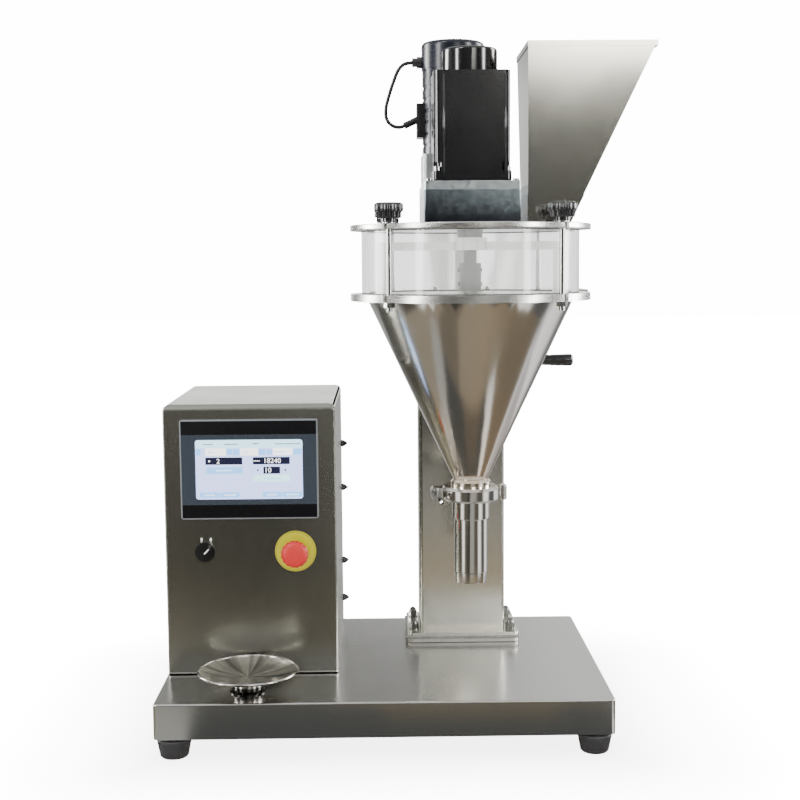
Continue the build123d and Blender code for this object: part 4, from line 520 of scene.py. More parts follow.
def turned(name, rings, material, place=None, steps=72):
    form = bmesh.new()  # rings are (radius, height) from the back to the front, in mm
    loops = []
    for radius, height in rings:
        if radius < 0.001:
            loops.append([form.verts.new((0, 0, height * mm))])
            continue
        loops.append([form.verts.new((radius * mm * math.cos(a), radius * mm * math.sin(a), height * mm))
                      for a in (math.tau * i / steps for i in range(steps))])
    for low, high in zip(loops, loops[1:]):
        for i in range(steps):
            j = (i + 1) % steps
            corners = [low[i % len(low)], low[j % len(low)], high[j % len(high)], high[i % len(high)]]
            form.faces.new(list(dict.fromkeys(corners)))
    for face in form.faces:
        face.smooth = True
    bmesh.ops.recalc_face_normals(form, faces=form.faces)
    for edge in form.edges:
        edge.smooth = edge.calc_face_angle(math.pi) < smoothing["sharp"]
    mesh = bpy.data.meshes.new(name)
    form.to_mesh(mesh)
    form.free()
    if place:
        mesh.transform(place)
    mesh.materials.append(material)
    return mesh


# geometry node trees for what repeats
class Growth(Graph):
    kinds = {"Object": "NodeSocketObject", "Material": "NodeSocketMaterial", "Seed": "NodeSocketInt"}

    def __init__(self, name, sizes):
        self.tree = bpy.data.node_groups.new(name, "GeometryNodeTree")
        make = self.tree.interface.new_socket
        make("Geometry", in_out="INPUT", socket_type="NodeSocketGeometry")
        self.keys = {}
        for size in (*sizes, "Material"):
            kind = self.kinds.get(size, "NodeSocketFloat")
            self.keys[size] = make(size, in_out="INPUT", socket_type=kind).identifier
        make("Geometry", in_out="OUTPUT", socket_type="NodeSocketGeometry")
        self.entry = self.tree.nodes.new("NodeGroupInput")
        self.exit = self.tree.nodes.new("NodeGroupOutput")

    def value(self, name):
        return Wire(self.tree, self.entry.outputs[name])

    def close(self, geometry):
        real = self.node("GeometryNodeRealizeInstances", inputs={"Geometry": geometry})
        done = self.node("GeometryNodeSetMaterial", inputs={"Geometry": real, "Material": self.value("Material")})
        self.tree.links.new(done.socket, self.exit.inputs[0])

    def grow(self, name, mesh, values):
        piece = addObject(name, mesh)
        grown = piece.modifiers.new("grown", "NODES")
        grown.node_group = self.tree
        for key, value in values.items():
            grown[self.keys[key]] = value
        return bakeMesh(piece)


def scatterTree():
    g = Growth("scatter", ("Object", "Size", "Turn", "Seed"))  # copies of one object on a mesh's points
    shape = g.node("GeometryNodeObjectInfo", {"transform_space": "ORIGINAL"}, {
        "Object": g.value("Object")}, out="Geometry")
    aim = g.node("GeometryNodeInputNamedAttribute", {"data_type": "FLOAT_VECTOR"}, {"Name": "aim"})
    facing = g.node("FunctionNodeAlignRotationToVector", {"axis": "Z"}, {"Vector": aim})
    spin = g.node("FunctionNodeRandomValue", {"data_type": "FLOAT"}, {
        2: 0.0, 3: g.value("Turn"), "Seed": g.value("Seed")}, out=1)
    about = g.node("FunctionNodeAxisAngleToRotation", inputs={"Axis": (0, 0, 1), "Angle": spin})
    turn = g.node("FunctionNodeRotateRotation", {"rotation_space": "LOCAL"}, {"Rotation": facing, "Rotate By": about})
    size = g.node("ShaderNodeCombineXYZ", inputs={0: g.value("Size"), 1: g.value("Size"), 2: g.value("Size")})
    g.close(g.node("GeometryNodeInstanceOnPoints", inputs={
        "Points": g.value("Geometry"), "Instance": shape, "Rotation": turn, "Scale": size}))
    return g


def fluteTree():
    g = Growth("flutes", ("Count", "Depth", "Inner Radius"))  # grooves round a turned blank
    place = g.node("GeometryNodeInputPosition")
    x = g.node("ShaderNodeSeparateXYZ", inputs={0: place})
    y = g.node("ShaderNodeSeparateXYZ", inputs={0: place}, out=1)
    away = (x * x + y * y) ** 0.5
    wave = (y.maths("ARCTAN2", x) * g.value("Count")).maths("COSINE")
    pull = (0.5 + 0.5 * wave) ** 2.0 * g.value("Depth") * (away > g.value("Inner Radius"))
    scale = 1.0 - pull / away.maths("MAXIMUM", 1e-4)
    move = g.node("ShaderNodeCombineXYZ", inputs={0: x * scale - x, 1: y * scale - y, 2: 0.0})
    g.close(g.node("GeometryNodeSetPosition", inputs={"Geometry": g.value("Geometry"), "Offset": move}))
    return g


def beadTree():
    g = Growth("weldBead", ("Step", "Radius", "Jitter", "Seed"))  # overlapping drops along an edge path
    path = g.node("GeometryNodeMeshToCurve", inputs={"Mesh": g.value("Geometry")})
    stops = g.node("GeometryNodeResampleCurve", {"mode": "LENGTH"}, {"Curve": path, "Length": g.value("Step")})
    drop = g.node("GeometryNodeMeshIcoSphere", inputs={"Radius": g.value("Radius"), "Subdivisions": 2})
    soft = g.node("GeometryNodeSetShadeSmooth", inputs={"Geometry": drop})
    tangent = g.node("GeometryNodeInputTangent")
    turn = g.node("FunctionNodeAlignRotationToVector", {"axis": "X"}, {"Vector": tangent})
    size = g.node("FunctionNodeRandomValue", {"data_type": "FLOAT"}, {
        2: 1.0 - g.value("Jitter"), 3: 1.0 + g.value("Jitter"), "Seed": g.value("Seed")}, out=1)
    scale = g.node("ShaderNodeCombineXYZ", inputs={0: 0.7 * size, 1: size, 2: size})
    g.close(g.node("GeometryNodeInstanceOnPoints", inputs={
        "Points": stops, "Instance": soft, "Rotation": turn, "Scale": scale}))
    return g


scatter, flutes, bead = scatterTree(), fluteTree(), beadTree()


def pathMesh(name, points, closed=False):
    mesh = bpy.data.meshes.new(name)
    edges = [(i, i + 1) for i in range(len(points) - 1)]
    mesh.from_pydata([tuple(p) for p in points], edges + ([(len(points) - 1, 0)] if closed else []), [])
    return mesh


def spotMesh(name, points, aims):
    mesh = bpy.data.meshes.new(name)
    mesh.from_pydata([tuple(p) for p in points], [], [])
    aimed = mesh.attributes.new("aim", "FLOAT_VECTOR", "POINT")
    aimed.data.foreach_set("vector", [c for aim in aims for c in aim])
    return mesh


def looseBoxes(node):
    form = bmesh.new()
    form.from_mesh(nodes[node].data)
    bmesh.ops.remove_doubles(form, verts=form.verts, dist=smoothing["merge"])
    seen, boxes = set(), []
    for first in form.verts:
        if first in seen:
            continue
        queue, island = [first], []
        seen.add(first)
        while queue:
            vert = queue.pop()
            island.append(vert.co.copy())
            for edge in vert.link_edges:
                other = edge.other_vert(vert)
                if other not in seen:
                    seen.add(other)
                    queue.append(other)
        boxes.append([Vector([pick(co[i] for co in island) for i in range(3)]) for pick in (min, max)])
    form.free()
    return boxes


# every carried-over node gets a smooth skin; those made afresh below are left out
knobNumbers = (1, 2, 3, 4)
afresh = {"motor_lead", "estop_mushroom", "cabinet_screws", *(f"cover_knob_{index}" for index in knobNumbers)}
for node in nodes:
    if node not in afresh:
        smoothCopy(node)
print("stage: smooth skins")


# cover knobs: fluted hub under a wider fluted head
coverKnob = {
    "rings": [(0, 0), (9.6, 0), (10.5, 0.9), (10.5, 4.6), (11.6, 5.0), (15.8, 5.0), (16.8, 5.8), (17.2, 7.0),
              (17.2, 12.6), (17.6, 13.2), (18.8, 13.4), (19.7, 14.0), (20, 15.0), (20, 22.4), (19.5, 23.8),
              (18.2, 24.8), (16.2, 25.6), (14.8, 25.9), (13.6, 25.2), (8, 25.0), (0, 25.0)],
    "steps": 144,
    "flutes": 14,
    "depth": 0.0026,
    "innerRadius": 0.0120,
}


def addKnob(index, values):
    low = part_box(f"cover_knob_{index}")[0][2]
    blank = turned("knobBlank", values["rings"], finishes["black_plastic"], steps=values["steps"])
    knob = flutes.grow(f"fluted_knob_{index}", blank, {
        "Count": float(values["flutes"]), "Depth": values["depth"], "Inner Radius": values["innerRadius"],
        "Material": finishes["black_plastic"]})
    centre = middle(f"cover_knob_{index}")
    knob.data.transform(Matrix.Translation((centre.x, centre.y, low)))
    seat(knob, f"knob_{index}", "black_plastic", f"cover_knob_{index}")


for index in knobNumbers:
    addKnob(index, coverKnob)


# auger motor: rounded rails down the front corners of its body
motorRail = {"insets": (16.0, 8.5), "width": 3.4, "proud": 0.8, "sunk": 0.1, "foot": 16.0, "head": 41.0, "steps": 8}


def addMotorRails(values):
    low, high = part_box("auger_motor")
    form = bmesh.new()
    shares = [i / values["steps"] for i in range(values["steps"] + 1)]
    for x in (low[0] + values["insets"][0] * mm, high[0] - values["insets"][1] * mm):
        rows = []
        for z in (low[2] + values["foot"] * mm, high[2] - values["head"] * mm):
            rows.append([form.verts.new((
                x + values["width"] * mm * (share - 0.5),
                low[1] + (values["sunk"] - values["proud"] * math.sin(math.pi * share)) * mm, z))
                for share in shares])
        for i in range(values["steps"]):
            form.faces.new((rows[0][i], rows[0][i + 1], rows[1][i + 1], rows[1][i])).smooth = True
        for row in (rows[0][::-1], rows[1]):
            form.faces.new(row)
    mesh = bpy.data.meshes.new("auger_motor_rails")
    form.to_mesh(mesh)
    form.free()
    mesh.materials.append(finishes["black_motor"])
    seat(addObject("auger_motor_rails", mesh), "lift_head", "black_motor")


addMotorRails(motorRail)


# filling tip: pressed ring where it sits on the tube
tipJoint = {"ring": [(-0.3, -0.7), (0.3, -0.7), (0.5, 0), (0.3, 0.7), (-0.3, 0.7), (-0.3, -0.7)], "drop": 0.6}


def addTipJoint(values):
    low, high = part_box("filling_tip")
    radius = (high[0] - low[0]) / 2 / mm
    centre = middle("filling_tip")
    place = Matrix.Translation((centre.x, centre.y, high[2] - values["drop"] * mm))
    rings = [(radius + out, up) for out, up in values["ring"]]
    joint = addObject("tip_joint", turned("tip_joint", rings, finishes["machine_steel"], place))
    seat(joint, bodyOf["filling_tip"], "machine_steel")


addTipJoint(tipJoint)


# emergency stop: domed head with a scalloped rim
stopHead = {
    "rings": [(0, 0), (13, 0), (13, 5.6), (17.6, 6.1), (19.2, 6.8), (20, 8.0), (20, 9.6), (19.4, 11.4), (17.8, 13.2),
              (15.2, 14.9), (11.5, 16.2), (7, 16.9), (3, 17.05), (0, 17.1)],
    "steps": 128,
    "scallops": 16,
    "depth": 0.0011,
    "innerRadius": 0.0190,
}


def addStopHead(values):
    blank = turned("stopBlank", values["rings"], finishes["stop_red"], steps=values["steps"])
    head = flutes.grow("stop_head_cap", blank, {
        "Count": float(values["scallops"]), "Depth": values["depth"], "Inner Radius": values["innerRadius"],
        "Material": finishes["stop_red"]})
    centre, back = middle("estop_mushroom"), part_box("estop_mushroom")[1][1]
    head.data.transform(Matrix.Translation((centre.x, back, centre.z)) @ quarterTurn)
    seat(head, "stop_head", "stop_red", "estop_mushroom")


addStopHead(stopHead)
print("stage: knobs and stop button")


# cabinet fasteners: domed grip nuts on the side, socket screws round the back cover
cabinetNuts = {
    "dome": [(0, -0.5), (5.2, -0.5), (5.9, 0.3), (5.9, 2.6), (5.1, 4.4), (3.6, 6.8), (2.0, 9.2), (1.0, 10.3),
             (0, 10.6)],
    "head": [(0, -0.5), (3.2, -0.5), (3.5, 0.0), (3.5, 1.5), (3.0, 2.1), (1.9, 2.18), (1.7, 1.2), (0, 1.0)],
    "grips": 12,
    "gripDepth": 0.0006,
    "gripFrom": 0.0056,
    "sideFrom": 4.0,
    "domeSeat": 8.0,
    "headSeat": 2.2,
    "seed": 3,
}


def addCabinetNuts(values):
    boxes = looseBoxes("cabinet_screws")
    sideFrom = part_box("cabinet_shell")[1][0] + values["sideFrom"] * mm
    dome = flutes.grow("domeBlank", turned("domeBlank", values["dome"], finishes["black_plastic"], steps=48), {
        "Count": float(values["grips"]), "Depth": values["gripDepth"], "Inner Radius": values["gripFrom"],
        "Material": finishes["black_plastic"]})
    head = addObject("headBlank", turned("headBlank", values["head"], finishes["bolt_steel"], steps=32))
    side = [Vector((high.x - values["domeSeat"] * mm, (low.y + high.y) / 2, (low.z + high.z) / 2))
            for low, high in boxes if high.x > sideFrom]
    back = [Vector(((low.x + high.x) / 2, high.y - values["headSeat"] * mm, (low.z + high.z) / 2))
            for low, high in boxes if high.x <= sideFrom]
    sets = (("cabinet_side_nuts", dome, side, (1, 0, 0), "black_plastic", ["cabinet_screws"]),
            ("cabinet_cover_screws", head, back, (0, 1, 0), "bolt_steel", []))
    for name, shape, points, aim, slot, replaced in sets:
        piece = scatter.grow(name, spotMesh(name, points, [aim] * len(points)), {
            "Object": shape, "Size": 1.0, "Turn": math.tau, "Seed": values["seed"], "Material": finishes[slot]})
        seat(piece, "machine_base", slot, *replaced)
        bpy.data.objects.remove(shape)


addCabinetNuts(cabinetNuts)
print("stage: cabinet fasteners")


# weld bead round the column's foot
weld = {"radius": 0.0022, "step": 0.0026, "jitter": 0.16, "seed": 4, "corner": 0.006, "cornerSteps": 5,
        "out": 0.0008, "lift": 0.0004}


def weldPath(low, high, z, values):
    corner, reach = values["corner"], values["corner"] + values["out"]
    right, left = high[0] - corner, low[0] + corner
    back, front = high[1] - corner, low[1] + corner
    points = []
    for x, y, start in ((right, back, 0), (left, back, 90), (left, front, 180), (right, front, 270)):
        for i in range(values["cornerSteps"] + 1):
            a = math.radians(start + 90 * i / values["cornerSteps"])
            points.append((x + reach * math.cos(a), y + reach * math.sin(a), z))
    return points


def addWelds(values):
    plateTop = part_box("column_mount_plates")[1][2]
    path = weldPath(*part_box("column"), plateTop + values["lift"], values)
    foot = bead.grow("column_weld", pathMesh("weldPath", path, True), {
        "Step": values["step"], "Radius": values["radius"], "Jitter": values["jitter"], "Seed": values["seed"],
        "Material": finishes["machine_steel"]})
    seat(foot, "machine_base", "machine_steel")


addWelds(weld)
print("stage: weld")


# touch panel picture: places in the photo's units, 435 wide by 240 high, from the screen's top left
panelPicture = {
    "size": (435.0, 240.0),
    "lift": 0.00004,
    "fields": {
        "sky": [(0, 0, 435, 34)],
        "lilac": [(0, 34, 435, 240)],
        "azure": [(3, 36, 22, 62), (126, 36, 150, 60), (153, 38, 178, 62), (256, 38, 285, 62),
                  (290, 40, 312, 60), (396, 38, 432, 62), (43, 110, 192, 137), (15, 212, 94, 233),
                  (97, 212, 176, 233), (270, 212, 349, 233), (352, 212, 431, 233)],
        "paper": [(40, 34, 125, 64), (182, 34, 255, 64), (315, 34, 395, 64)],
        "mint": [(233, 142, 383, 171)],
        "ink": [(40, 71, 190, 100), (233, 71, 383, 100), (275, 110, 343, 138)],
        "dot": [(249, 120, 256, 127), (361, 120, 368, 127)],
        "paperTwo": [(52, 82, 59, 89)],
    },
    "tones": {
        "sky": (0.50, 0.84, 1.0), "lilac": (0.50, 0.60, 1.0), "azure": (0.20, 0.50, 0.95),
        "paper": (1.0, 1.0, 1.0), "mint": (0.50, 0.88, 0.95), "ink": (0.002, 0.003, 0.016),
        "dot": (0.01, 0.015, 0.06), "paperTwo": (1.0, 1.0, 1.0),
    },
    "numbers": [("2", 85, 95, 20, "paper"), ("18240", 275, 95, 21, "paper"), ("10", 279, 133, 21, "paper")],
    "dashes": [(30, 18, 40, "dot"), (120, 18, 52, "dot"), (232, 16, 28, "dot"), (325, 18, 92, "dot"),
               (52, 50, 26, "azure"), (198, 50, 12, "azure"), (325, 50, 30, "azure"), (84, 124, 56, "paper"),
               (236, 86, 26, "paper"), (276, 157, 62, "azure"), (34, 223, 40, "paper"), (112, 223, 44, "paper"),
               (286, 223, 44, "paper"), (366, 223, 46, "paper")],
    "dashHalf": 2,
    "dashGap": 2.2,
    "topLevel": 10,
    "letterScale": 1.35,
}


def glow(name, tone, power=3.0):
    f = Finish(name, (0.01, 0.01, 0.012), 0.15, constants={"Emission Strength": power})
    cells = f.noise(900.0, 1.0, 0.5)
    f.set("Emission Color", f.shade(tone, 0.94 + 0.08 * cells))
    return f.material


def addPanelPicture(values):
    low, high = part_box("panel_screen")
    wide, tall = values["size"]
    lights = {key: glow("screen" + key.capitalize(), tone) for key, tone in values["tones"].items()}
    order = list(values["tones"])
    form = bmesh.new()

    def toScreen(px, py, level):
        x = low[0] + (high[0] - low[0]) * px / wide
        z = high[2] - (high[2] - low[2]) * py / tall
        return Vector((x, low[1] - values["lift"] * level, z))

    def addField(box, tone, level):
        x0, y0, x1, y1 = box
        corners = [form.verts.new(toScreen(x, y, level)) for x, y in ((x0, y1), (x1, y1), (x1, y0), (x0, y0))]
        form.faces.new(corners).material_index = order.index(tone)

    for level, (tone, boxes) in enumerate(values["fields"].items()):
        for box in boxes:
            addField(box, tone, 1 + level)
    top, half = values["topLevel"], values["dashHalf"]
    for index, (px, py, run, tone) in enumerate(values["dashes"]):
        here = px
        while here < px + run:
            step = 4 + (here * 7 + index * 5) % 6  # dashes of uneven length
            addField((here, py - half, here + step, py + half), tone, top)
            here += step + values["dashGap"]
    mesh = bpy.data.meshes.new("panel_picture")
    form.to_mesh(mesh)
    form.free()
    for tone in order:
        mesh.materials.append(lights[tone])
    seat(addObject("panel_picture", mesh), "machine_base", "panel_glass")
    for index, (words, px, py, size, tone) in enumerate(values["numbers"]):
        curve = bpy.data.curves.new("number", "FONT")
        curve.body = words
        curve.size = size * values["letterScale"] * (high[2] - low[2]) / tall
        letters = textMesh(curve, f"panel_number_{index + 1}")
        letters.data.transform(Matrix.Translation(toScreen(px, py, top)) @ quarterTurn)
        letters.data.materials.clear()
        letters.data.materials.append(lights[tone])
        seat(letters, "machine_base", "panel_glass")


def textMesh(curve, name):
    draft = addObject("draft", curve)
    graph = bpy.context.evaluated_depsgraph_get()
    mesh = bpy.data.meshes.new_from_object(draft.evaluated_get(graph))
    bpy.data.objects.remove(draft)
    return addObject(name, mesh)


addPanelPicture(panelPicture)
print("stage: panel picture")


# selector: white pointer line on its bar
pointer = {"from": 1.0, "to": 10.6, "width": 1.7, "turn": 45.0, "lift": 0.08}


def addPointer(values):
    centre, face = middle("selector_knob"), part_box("selector_knob")[0][1]
    a = math.radians(values["turn"])
    along, across = Vector((math.sin(a), 0, math.cos(a))), Vector((math.cos(a), 0, -math.sin(a)))
    start = Vector((centre.x, face - values["lift"] * mm, centre.z))
    half = values["width"] / 2
    outline = [(values["from"], -half), (values["from"], half), (values["to"] - half, half), (values["to"], 0),
               (values["to"] - half, -half)]
    mesh = bpy.data.meshes.new("pointer")
    mesh.from_pydata([start + along * r * mm + across * s * mm for r, s in outline], [], [tuple(range(5))])
    mesh.materials.append(finishes["nylon"])
    seat(addObject("selector_pointer", mesh), "selector", "nylon")


addPointer(pointer)

# selector: bright collar and the two marks over it
selectorTrim = {
    "collar": [(11.7, 0), (14.0, 0), (14.0, 1.0), (13.3, 1.8), (12.3, 1.9), (11.7, 1.3), (11.7, 0)],
    "mark": [(0, 0), (0.9, 0.4), (1.4, 1.4), (1.4, 10.6), (0.9, 11.6), (0, 12)],
    "markX": (-4.8, 8.8),
    "markFoot": 9.4,
    "markProud": 0.4,
}


def addSelectorTrim(values):
    centre, face = middle("selector_knob"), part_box("cabinet_shell")[0][1]
    place = Matrix.Translation((centre.x, face, centre.z)) @ quarterTurn
    collar = turned("selector_collar", values["collar"], finishes["bolt_steel"], place, 64)
    seat(addObject("selector_collar", collar), "machine_base", "bolt_steel")
    for index, x in enumerate(values["markX"]):
        foot = Matrix.Translation((
            centre.x + x * mm, face - values["markProud"] * mm, centre.z + values["markFoot"] * mm))
        mark = turned(f"selector_mark_{index + 1}", values["mark"], finishes["satin_steel"], foot, 24)
        seat(addObject(f"selector_mark_{index + 1}", mark), "machine_base", "satin_steel")


addSelectorTrim(selectorTrim)
print("stage: selector")


# floor, backdrop and light
studio = {
    "floorTone": (0.90, 0.90, 0.895),
    "white": 15.0,
    # floor glow near the stand, lower than white: painted soft shadow
    "shadowedGlow": 5.0,
    "throughClear": 1.9,
    "room": 1.9,
    "floorHalf": 14.0,
    "standMiddle": (-0.03, 0.01),
    "standHalf": (0.32, 0.22),
    "shadowReach": 0.25,
    "cardHeight": 0.0015,
    "lamps": [("key", (-1.8, -2.2, 2.6), 30.0, 0.7), ("fill", (2.4, -1.6, 1.8), 9.0, 0.9)],
    "lampAim": (0, 0, 0.5),
    "axis": (0.096, -0.077),
    "front": [(0.0, (0.12, 0.11, 0.085)), (0.49, (0.04, 0.039, 0.032)), (0.515, (0.055, 0.058, 0.055)),
              (0.530, (0.10, 0.11, 0.12)), (0.56, (0.20, 0.20, 0.21)), (0.62, 0.30),
              (0.72, (0.40, 0.40, 0.39)), (0.85, 0.9), (1.0, 1.1)],
    "chuteFront": [(0.0, (0.12, 0.11, 0.085)), (0.50, (0.05, 0.05, 0.045)), (0.525, (0.13, 0.13, 0.12)),
                   (0.545, (0.17, 0.17, 0.16)), (0.566, (0.36, 0.36, 0.34)), (0.582, (10.0, 9.9, 9.2)),
                   (0.60, (10.0, 9.9, 9.2)), (0.625, 0.9), (1.0, 1.1)],
    "chuteSide": (0.085, 0.115),
    "back": [(0.0, 0.30), (0.50, (2.6, 2.6, 2.55)), (0.56, (3.4, 3.4, 3.35)), (0.60, (0.50, 0.50, 0.49)),
             (0.625, (0.22, 0.22, 0.21)), (0.68, (0.24, 0.24, 0.23)), (0.72, (0.32, 0.32, 0.31)), (0.85, 1.0),
             (1.0, 1.0)],
    "backSide": (0.02, 0.13),
    "backSideGlow": 0.95,
    "backSideHeights": (0.60, 0.62),
    "leastDepth": 0.02,
    "sideHeights": (0.25, 0.5),
    "sideFrom": (0.25, 0.45),
    "backFrom": (-0.1, 0.2),
    "streaks": [(0.0, (0.55, 0.55, 0.57)), (0.10, 0.15), (0.155, 0.15), (0.17, 26.0), (0.195, 26.0),
                (0.215, 0.6), (0.26, 0.6), (0.29, 0.12), (0.325, 0.9), (0.333, 26.0), (0.348, 26.0),
                (0.357, 0.5), (0.40, (0.14, 0.14, 0.13)), (0.60, (0.14, 0.14, 0.13)), (0.645, 0.5),
                (0.652, 26.0), (0.665, 26.0), (0.675, 0.6), (0.71, (0.22, 0.22, 0.24)),
                (0.77, (0.22, 0.22, 0.24)), (0.80, 26.0), (0.825, 26.0), (0.845, (0.3, 0.3, 0.32)),
                (0.90, (0.55, 0.55, 0.60)), (1.0, (0.55, 0.55, 0.57))],
    "clear": [(0.0, (2.3, 2.3, 2.25)), (0.30, (2.3, 2.3, 2.25)), (0.34, (1.3, 1.3, 1.22)),
              (0.42, (1.05, 1.05, 0.97)), (0.455, (2.2, 2.2, 2.1)), (0.475, (0.78, 0.78, 0.70)),
              (0.52, (0.72, 0.72, 0.65)), (0.56, (1.0, 1.0, 0.92)), (0.60, (2.6, 2.6, 2.55)),
              (0.66, (2.3, 2.3, 2.25)), (0.69, (1.4, 1.4, 1.34)), (0.76, (2.2, 2.2, 2.1)),
              (0.84, (1.5, 1.5, 1.4)), (1.0, (2.2, 2.2, 2.15))],
    "clearSpan": (-0.04, 0.155),
    "nearRing": [(0.0, (0.60, 0.60, 0.58)), (0.198, (0.66, 0.65, 0.60)), (0.205, (0.14, 0.13, 0.10)),
                 (0.215, (0.13, 0.12, 0.09)), (0.222, (1.5, 1.5, 1.4)), (0.232, (0.36, 0.32, 0.25)),
                 (0.42, (0.38, 0.32, 0.24)), (0.55, (0.40, 0.33, 0.23)), (0.66, (0.24, 0.195, 0.135)),
                 (0.768, (0.22, 0.18, 0.13)), (0.776, 1.4), (0.79, (0.66, 0.64, 0.68)),
                 (0.84, (0.60, 0.58, 0.62)), (0.87, 0.25), (1.0, (0.60, 0.60, 0.58))],
    "farRing": [(0.0, 0.8), (0.14, (0.12, 0.12, 0.11)), (0.20, 1.6), (0.25, (0.12, 0.11, 0.09)),
                (0.31, (0.09, 0.085, 0.07)), (0.335, (1.7, 1.68, 1.6)), (0.36, (1.7, 1.68, 1.6)),
                (0.385, (0.12, 0.11, 0.09)), (0.44, (0.12, 0.11, 0.09)), (0.47, (0.43, 0.42, 0.39)),
                (0.535, (0.45, 0.44, 0.41)), (0.57, (0.12, 0.11, 0.09)), (0.62, (0.10, 0.095, 0.08)),
                (0.645, (1.6, 1.6, 1.55)), (0.68, (1.6, 1.6, 1.55)), (0.71, 0.12), (0.77, 0.12), (0.80, 1.6),
                (0.86, 1.2), (0.90, 0.15), (1.0, 0.8)],
    "ringChange": (0.94, 1.01),
    "cards": [
        ("frontFlag", [(-0.31, -0.215), (0.322, -0.215), (0.350, -0.47), (0.26, -0.47), (0.22, -0.35), (-0.02, -0.35),
                       (-0.06, -0.47), (-0.335, -0.47)], (0.088, 0.092, 0.090)),
        ("frontMiddle", [(-0.02, -0.35), (0.22, -0.35), (0.26, -0.47), (-0.06, -0.47)], (0.135, 0.120, 0.098)),
        ("frontLeftGlow", [(-0.44, -0.215), (-0.31, -0.215), (-0.335, -0.47), (-0.50, -0.50)], (0.50, 0.50, 0.47)),
        ("frontRightGlow", [(0.322, -0.215), (0.42, -0.215), (0.46, -0.47), (0.350, -0.47)], (1.3, 1.3, 1.28)),
        ("cabinetNear", [(-0.38, -0.48), (-0.12, -0.48), (-0.08, -0.90), (-0.44, -0.90)], (0.21, 0.182, 0.138)),
        ("cabinetFlag", [(-0.44, -0.90), (-0.08, -0.90), (-0.12, -4.8), (-0.86, -4.8)], (0.060, 0.060, 0.051)),
    ],
}


def addWorld(values):
    world = bpy.data.worlds.new("studio")
    world.use_nodes = True
    g = Graph()
    g.tree = world.node_tree
    direction = g.node("ShaderNodeTexCoord")
    x, y, z = (g.node("ShaderNodeSeparateXYZ", inputs={0: direction}, out=i) for i in range(3))
    height = 0.5 + 0.5 * z
    slant = x / (0.0 - y).maths("MAXIMUM", values["leastDepth"])
    slantBack = x / y.maths("MAXIMUM", values["leastDepth"])
    front = g.blend(g.span(slant, *values["chuteSide"]), g.ramp(height, values["front"]),
                    g.ramp(height, values["chuteFront"]))
    brighter = g.span(slantBack, *values["backSide"]) * g.span(height, *values["backSideHeights"])
    back = g.blend(brighter, g.ramp(height, values["back"]), (values["backSideGlow"],) * 3)
    streak = g.ramp(0.5 + x.maths("ARCTAN2", 0.0 - y) / math.tau, values["streaks"])
    sideways = g.span(abs(z), *values["sideHeights"], 1.0, 0.0) * g.span(abs(x), *values["sideFrom"])
    mirror = g.blend(sideways, g.blend(g.span(y, *values["backFrom"]), front, back), streak)
    isCamera, isClear, isGlossy = (g.node("ShaderNodeLightPath", out=f"Is {ray} Ray")
                                   for ray in ("Camera", "Transmission", "Glossy"))
    room = g.blend(isGlossy, (values["room"],) * 3, mirror)
    room = g.blend(isClear, room, g.ramp(g.span(slantBack, *values["clearSpan"]), values["clear"]))
    colour = g.blend(isCamera, room, (values["white"],) * 3)
    plug(g.tree, g.tree.nodes["Background"].inputs[0], colour)
    bpy.context.scene.world = world


# dark and bright cards on the floor that only mirrors see
def addCard(name, corners, tone, height):
    mesh = bpy.data.meshes.new(name)
    mesh.from_pydata([(x, y, height) for x, y in corners], [], [tuple(range(len(corners)))])
    card = addObject(name, mesh)
    f = Finish(name, (0.0, 0.0, 0.0), 1.0, constants={"Emission Color": (*tone, 1.0), "Emission Strength": 1.0})
    f.set("Specular IOR Level", 0.0)
    mesh.materials.append(f.material)
    card.visible_camera = card.visible_diffuse = card.visible_transmission = card.visible_shadow = False


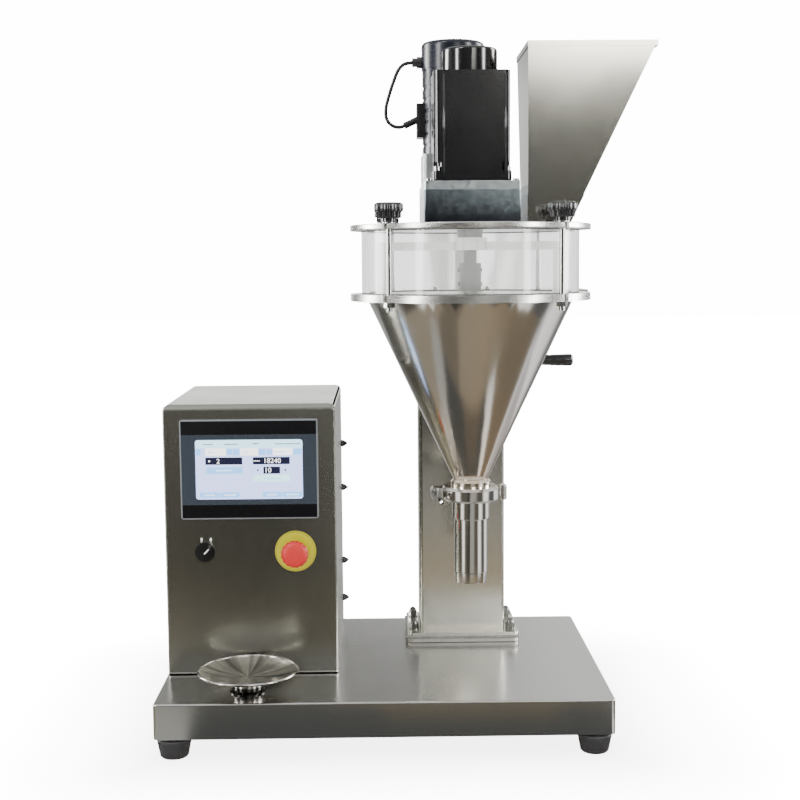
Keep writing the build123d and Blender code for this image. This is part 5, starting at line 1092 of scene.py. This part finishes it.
def addFloor(values):
    mesh = bpy.data.meshes.new("floor")
    s = values["floorHalf"]
    mesh.from_pydata([(-s, -s, 0), (s, -s, 0), (s, s, 0), (-s, s, 0)], [], [(0, 1, 2, 3)])
    floor = addObject("floor", mesh)
    f = Finish("floorPaper", values["floorTone"], 0.7)
    f.set("Roughness", 0.65 + 0.1 * f.noise(3.0))
    x, y = f.axis(0), f.axis(1)
    # painted soft shadow: camera rays see the floor glow dimmer near the stand, white beyond
    beyondX, beyondY = ((abs(along - centre) - half).maths("MAXIMUM", 0.0) for along, centre, half in zip(
        (x, y), values["standMiddle"], values["standHalf"]))
    beyond = f.span((beyondX * beyondX + beyondY * beyondY) ** 0.5, 0.0, values["shadowReach"])
    shown = f.node("ShaderNodeEmission", inputs={
        "Color": f.blend(beyond, (values["shadowedGlow"],) * 3, (values["white"],) * 3)})
    # what the polished parts mirror: bands round the filling tube
    over, ahead = x - values["axis"][0], values["axis"][1] - y
    turn = 0.5 + over.maths("ARCTAN2", ahead) / math.tau
    away = (over * over + ahead * ahead) ** 0.5
    bands = f.blend(f.span(away, *values["ringChange"]), f.ramp(turn, values["nearRing"]),
                    f.ramp(turn, values["farRing"]))
    mirrored = f.node("ShaderNodeEmission", inputs={"Color": bands})
    through = f.node("ShaderNodeEmission", inputs={"Color": (*((values["throughClear"],) * 3), 1.0)})
    plain = Wire(f.tree, f.shader.outputs[0])
    bright = f.node("ShaderNodeAddShader", inputs={0: plain, 1: shown})
    looks = plain
    for ray, look in (("Is Glossy Ray", mirrored), ("Is Transmission Ray", through), ("Is Camera Ray", bright)):
        looks = f.node("ShaderNodeMixShader", inputs={
            0: f.node("ShaderNodeLightPath", out=ray), 1: looks, 2: look})
    f.tree.links.new(looks.socket, f.tree.nodes["Material Output"].inputs[0])
    mesh.materials.append(f.material)


def addLamp(name, spot, power, size, aim):
    lamp = bpy.data.lights.new(name, "AREA")
    lamp.energy = power
    lamp.size = size
    light = addObject(name, lamp)
    light.location = spot
    light.rotation_euler = (Vector(aim) - Vector(spot)).to_track_quat("-Z", "Y").to_euler()


addWorld(studio)
addFloor(studio)
for card in studio["cards"]:
    addCard(*card, studio["cardHeight"])
for lamp in studio["lamps"]:
    addLamp(*lamp, studio["lampAim"])
print("stage: studio")
